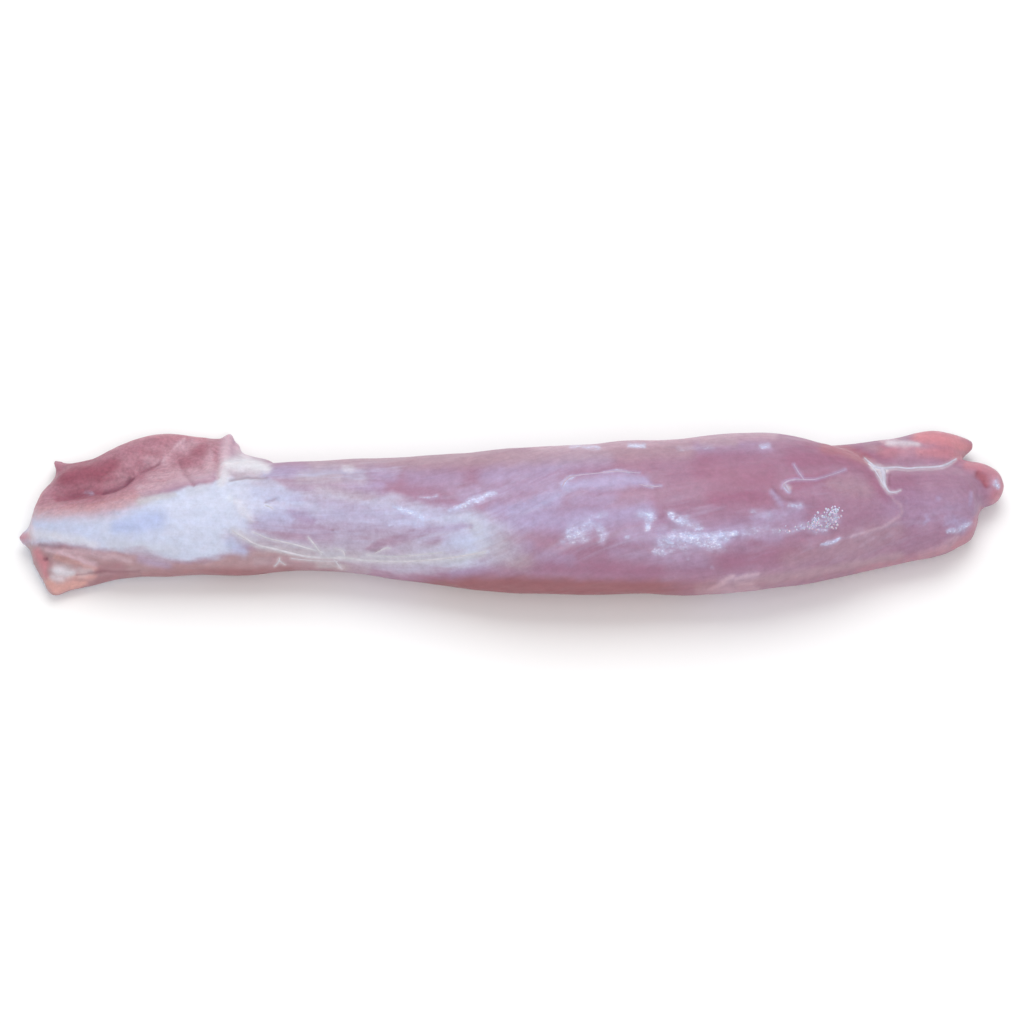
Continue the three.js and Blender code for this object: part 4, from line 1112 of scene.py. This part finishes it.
def bead_tree(name):
    """Flattened beads scattered on a surface, as thickly as a mask says."""
    tree, given, out = geometry_tree(name, {
        "Mask": "String", "Per square metre": "Float", "Least radius": "Float", "Largest radius": "Float",
        "Flatness": "Float", "Seed": "Int"})
    mask = add(tree, "GeometryNodeInputNamedAttribute", {"Name": given["Mask"]}, data_type="FLOAT")
    thick = fitted(tree, mask.outputs[0], 0.2, 0.75)
    density = maths(tree, "MULTIPLY", thick, given["Per square metre"])
    spread = add(tree, "GeometryNodeDistributePointsOnFaces",
                 {"Mesh": given["Geometry"], "Density": density, "Seed": given["Seed"]})
    ball = add(tree, "GeometryNodeMeshIcoSphere", {"Radius": 1.0, "Subdivisions": 1})
    # The ball comes with an empty material slot, which the finished piece would keep.
    filled = add(tree, "GeometryNodeReplaceMaterial", {"Geometry": ball.outputs[0], "New": given["Material"]})
    size = add(tree, "FunctionNodeRandomValue",
               {2: given["Least radius"], 3: given["Largest radius"], "Seed": given["Seed"]},
               data_type="FLOAT").outputs[1]
    flat = maths(tree, "MULTIPLY", size, given["Flatness"])
    scale = add(tree, "ShaderNodeCombineXYZ", {0: size, 1: size, 2: flat})
    placed = add(tree, "GeometryNodeInstanceOnPoints",
                 {"Points": spread.outputs["Points"], "Instance": filled.outputs[0],
                  "Rotation": spread.outputs["Rotation"], "Scale": scale.outputs[0]})
    return finish_tree(tree, given, out, placed.outputs[0])


def grown(mesh, name, tree, values):
    """A piece made by a geometry tree from a mesh, as a plain mesh at the origin."""
    piece = object_with(mesh, name)
    modifier = piece.modifiers.new(name, "NODES")
    modifier.node_group = tree
    for item in tree.interface.items_tree:
        if item.in_out == "INPUT" and item.name in values:
            modifier[item.identifier] = values[item.name]
    return object_with(baked(piece, name), name)


def meat_search():
    """The finished meat's faces, ready for finding where a drawn line falls on them."""
    mesh = bpy.data.objects["meat"].data
    return BVHTree.FromPolygons([v.co for v in mesh.vertices], [p.vertices for p in mesh.polygons])


def build_threads(name, paths, sides, material):
    """One piece of threads, laid on the finished meat."""
    return grown(path_mesh(name, meat_search(), paths), name, shared("Threads", thread_tree),
                 {"Sides": sides, "Thickness": FULLNESS, "Material": material})


def build_beads(name, values):
    """One piece of beads, on the finished meat."""
    return grown(bpy.data.objects["meat"].data.copy(), name, shared("Beads", bead_tree), values)


# ---- The stage ---------------------------------------------------------------------------------

# The square lights that face the meat: the azimuth and the rise they shine from in degrees, and how
# far off and how wide they are in metres.
SOFTBOXES = {
    "key_light": (10, 52, 1.0, 0.3),
    "back_light": (175, 62, 1.1, 0.8),
    "fill_light": (-5, 14, 1.3, 0.9),
}
CLIP_START = 0.05    # m


def floor_material(settings):
    material, tree, shader = new_material("Pale table", {"Roughness": 0.6})
    base = settings.floor_colour
    clouds = noise(tree, object_places(tree), 9.0, 3.0)
    plug(tree, shader["Base Color"], blended(tree, clouds, base, darker(base, 0.985)))
    return material


def aimed(piece, back, distance, target):
    """Places a light or the camera so that it looks from a direction at a target."""
    piece.location = target + back * distance
    piece.rotation_euler = back.to_track_quat("Z", "Y").to_euler()


def build_table(settings):
    reach = settings.floor_reach
    mesh = bpy.data.meshes.new("table")
    mesh.from_pydata([(-reach, -reach, 0), (reach, -reach, 0), (reach, reach, 0), (-reach, reach, 0)],
                     [], [(0, 1, 2, 3)])
    mesh.materials.append(floor_material(settings))
    object_with(mesh, "table")


def build_room(settings):
    """The soft light that comes from all round."""
    world = bpy.data.worlds.new("Soft room")
    world.use_nodes = True
    background = world.node_tree.nodes["Background"].inputs
    background["Color"].default_value = settings.room_colour
    background["Strength"].default_value = settings.room_light
    bpy.context.scene.world = world


def build_softboxes(settings):
    for name, (azimuth, rise, distance, size) in SOFTBOXES.items():
        lamp = bpy.data.lights.new(name, "AREA")
        lamp.size = size
        lamp.energy = getattr(settings, name)
        a, e = math.radians(azimuth), math.radians(rise)
        back = Vector((math.sin(a) * math.cos(e), -math.cos(a) * math.cos(e), math.sin(e)))
        aimed(object_with(lamp, name), back, distance, Vector())


def build_camera():
    lens = bpy.data.cameras.new("Camera")
    lens.lens = LENS
    lens.sensor_width = SENSOR
    lens.clip_start = CLIP_START
    camera = object_with(lens, "Camera")
    aimed(camera, Vector(VIEW_BACK), VIEW_DISTANCE * MM, Vector(VIEW_TARGET) * MM)
    bpy.context.scene.camera = camera


# ---- Settings, operators and panel -------------------------------------------------------------


def tint(name, code, description):
    return bpy.props.FloatVectorProperty(name=name, description=description, subtype="COLOR", size=4,
                                         min=0, max=1, default=colour(code))


def amount(name, default, description, unit="NONE"):
    return bpy.props.FloatProperty(name=name, description=description, default=default, min=0, unit=unit,
                                   precision=5 if unit == "LENGTH" else 3)


def length(name, default, description):
    return amount(name, default, description, "LENGTH")


def power(name, default, description):
    return amount(name, default, description, "POWER")


class MeatSettings(bpy.types.PropertyGroup):
    """Colours and sizes of the meat and of what lies on it."""

    face_size: length("Face size", 0.00128, "Size of the even faces before the marked side is cut finer")
    fibre_relief: length("Fibre relief", 0.00007, "How high the bundles of fibres stand")
    lump_relief: length("Lump relief", 0.00022, "How high the soft lumps stand")
    pebble_relief: length("Pebble relief", 0.00007, "How high the pebbles under the wet film stand")
    skin_grain: length("Skin grain", 0.00007, "Height of the finest grain")
    bead_density: amount("Bead density", 1.4e6, "Beads of moisture on a square metre where they lie thickest")
    least_bead: length("Least bead", 0.0003, "Radius of the smallest bead of moisture")
    largest_bead: length("Largest bead", 0.0006, "Radius of the largest bead of moisture")
    bead_flatness: amount("Bead flatness", 0.3, "Height of a bead as a share of its radius")
    muscle_colour: tint("Muscle", "A7829A", "Lean meat where it is palest")
    muscle_deep_colour: tint("Deep muscle", "996C88", "Lean meat where it is darkest")
    rose_colour: tint("Bare muscle", "9C6682", "Lean meat with no membrane over it")
    tan_colour: tint("Tan membrane", "B1969F", "Dry, faintly green membrane")
    haze_colour: tint("Haze", "AC9EC2", "Thin membrane over the lean meat")
    silver_colour: tint("Silverskin", "C9CEE3", "The tight sheet over the tendon end")
    blue_colour: tint("Blue silverskin", "B3BDDF", "Where the silverskin is thickest")
    flap_colour: tint("Flap", "AB7888", "The flap behind the tendon end")
    blush_colour: tint("Blush", "D2B4C1", "Thin pale folds with meat showing through")
    flesh_colour: tint("Red flesh", "8E4459", "Freshly cut dark meat")
    salmon_colour: tint("Pink flesh", "D6A29B", "Pale red meat at the loose tips")
    pink_colour: tint("Tips", "CA8590", "Bright pink meat at the loose tips")
    side_colour: tint("Side", "AE8C92", "Brownish meat under the tendon end's silverskin")
    # Painted shade: the darker brown laid towards the underside.
    edge_colour: tint("Under edge", "92585F", "Browner meat towards the underside")
    cream_colour: tint("Cream film", "BDBABF", "Thin greyish fat between the threads")
    fat_colour: tint("Fat", "DAD8E1", "White fat")
    shade_colour: tint("Slits", "70384E", "The bottom of creases and slits")
    # Pale membrane in the wisps, and also the painted sheen laid over the wet film.
    membrane_and_painted_sheen_colour: tint("Wet film", "C7CFF0", "Membrane that the wet film lies on")
    # Painted glints in the wet film.
    painted_glint_colour: tint("Flecks", "EEF1FF", "Bright flecks in the wet film")
    # Painted highlight: the drops are painted pale for their sparkle.
    bead_glint_colour: tint("Moisture", "E8D6EE", "Beads of moisture")
    sinew_colour: tint("Sinew", "D0CAD4", "Cream threads")
    strand_colour: tint("Strands", "BFA9C2", "Pale strands of membrane")
    seam_colour: tint("Seam", "CEC9DC", "The fat in the seam beside the strip")


class StageSettings(bpy.types.PropertyGroup):
    """The table, the lights and the camera."""

    floor_colour: tint("Table", "FBFBFB", "The pale table")
    floor_reach: length("Table reach", 3.0, "Half the table's width")
    room_colour: tint("Room", "FFFFFF", "Colour of the light all round")
    room_light: amount("Room light", 0.62, "Strength of the light all round")
    key_light: power("Key light", 1.9, "Power of the nearer softbox")
    back_light: power("Back light", 6.0, "Power of the softbox behind")
    fill_light: power("Fill light", 1.6, "Power of the low softbox in front")


class TENDERLOIN_OT_meat(bpy.types.Operator):
    """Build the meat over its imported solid"""

    bl_idname = "tenderloin.meat"
    bl_label = "Meat"

    def execute(self, context):
        piece = build_meat(context.scene.tenderloin_meat)
        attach(piece, "root")
        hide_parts(NODE)
        return {"FINISHED"}


class TENDERLOIN_OT_threads(bpy.types.Operator):
    """Lay the sinew threads, the pale strands and the seam of fat on the meat"""

    bl_idname = "tenderloin.threads"
    bl_label = "Threads and seams"

    def execute(self, context):
        settings = context.scene.tenderloin_meat
        for name, paths, sides, finish, key in THREAD_PIECES:
            material = thread_material(finish, getattr(settings, key), settings)
            piece = build_threads(name, paths, sides, material)
            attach(piece, "root")
        return {"FINISHED"}


class TENDERLOIN_OT_beads(bpy.types.Operator):
    """Scatter the beads of moisture over the wet places"""

    bl_idname = "tenderloin.beads"
    bl_label = "Moisture"

    def execute(self, context):
        settings = context.scene.tenderloin_meat
        piece = build_beads("moisture", {
            "Mask": "beads", "Per square metre": settings.bead_density, "Least radius": settings.least_bead,
            "Largest radius": settings.largest_bead, "Flatness": settings.bead_flatness,
            "Seed": BEAD_SEED, "Material": bead_material(settings)})
        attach(piece, "root")
        return {"FINISHED"}


class TENDERLOIN_OT_stage(bpy.types.Operator):
    """Set the table, the lights and the camera"""

    bl_idname = "tenderloin.stage"
    bl_label = "Stage"

    def execute(self, context):
        settings = context.scene.tenderloin_stage
        build_table(settings)
        build_room(settings)
        build_softboxes(settings)
        build_camera()
        context.scene.view_settings.view_transform = "Standard"
        return {"FINISHED"}


OPERATORS = (TENDERLOIN_OT_meat, TENDERLOIN_OT_threads, TENDERLOIN_OT_beads, TENDERLOIN_OT_stage)


class TENDERLOIN_PT_panel(bpy.types.Panel):
    """Lists the pieces in the order that they are built"""

    bl_label = "Raw pork tenderloin"
    bl_idname = "TENDERLOIN_PT_panel"
    bl_space_type = "VIEW_3D"
    bl_region_type = "UI"
    bl_category = "Tenderloin"

    def draw(self, context):
        for operator in OPERATORS:
            self.layout.operator(operator.bl_idname)


CLASSES = (MeatSettings, StageSettings, *OPERATORS, TENDERLOIN_PT_panel)


def register():
    for made in CLASSES:
        bpy.utils.register_class(made)
    bpy.types.Scene.tenderloin_meat = bpy.props.PointerProperty(type=MeatSettings)
    bpy.types.Scene.tenderloin_stage = bpy.props.PointerProperty(type=StageSettings)


def unregister():
    del bpy.types.Scene.tenderloin_stage
    del bpy.types.Scene.tenderloin_meat
    for made in reversed(CLASSES):
        bpy.utils.unregister_class(made)


def main():
    register()
    bpy.ops.tenderloin.meat()
    bpy.ops.tenderloin.threads()
    bpy.ops.tenderloin.beads()
    bpy.ops.tenderloin.stage()


if __name__ == "__main__":
    main()
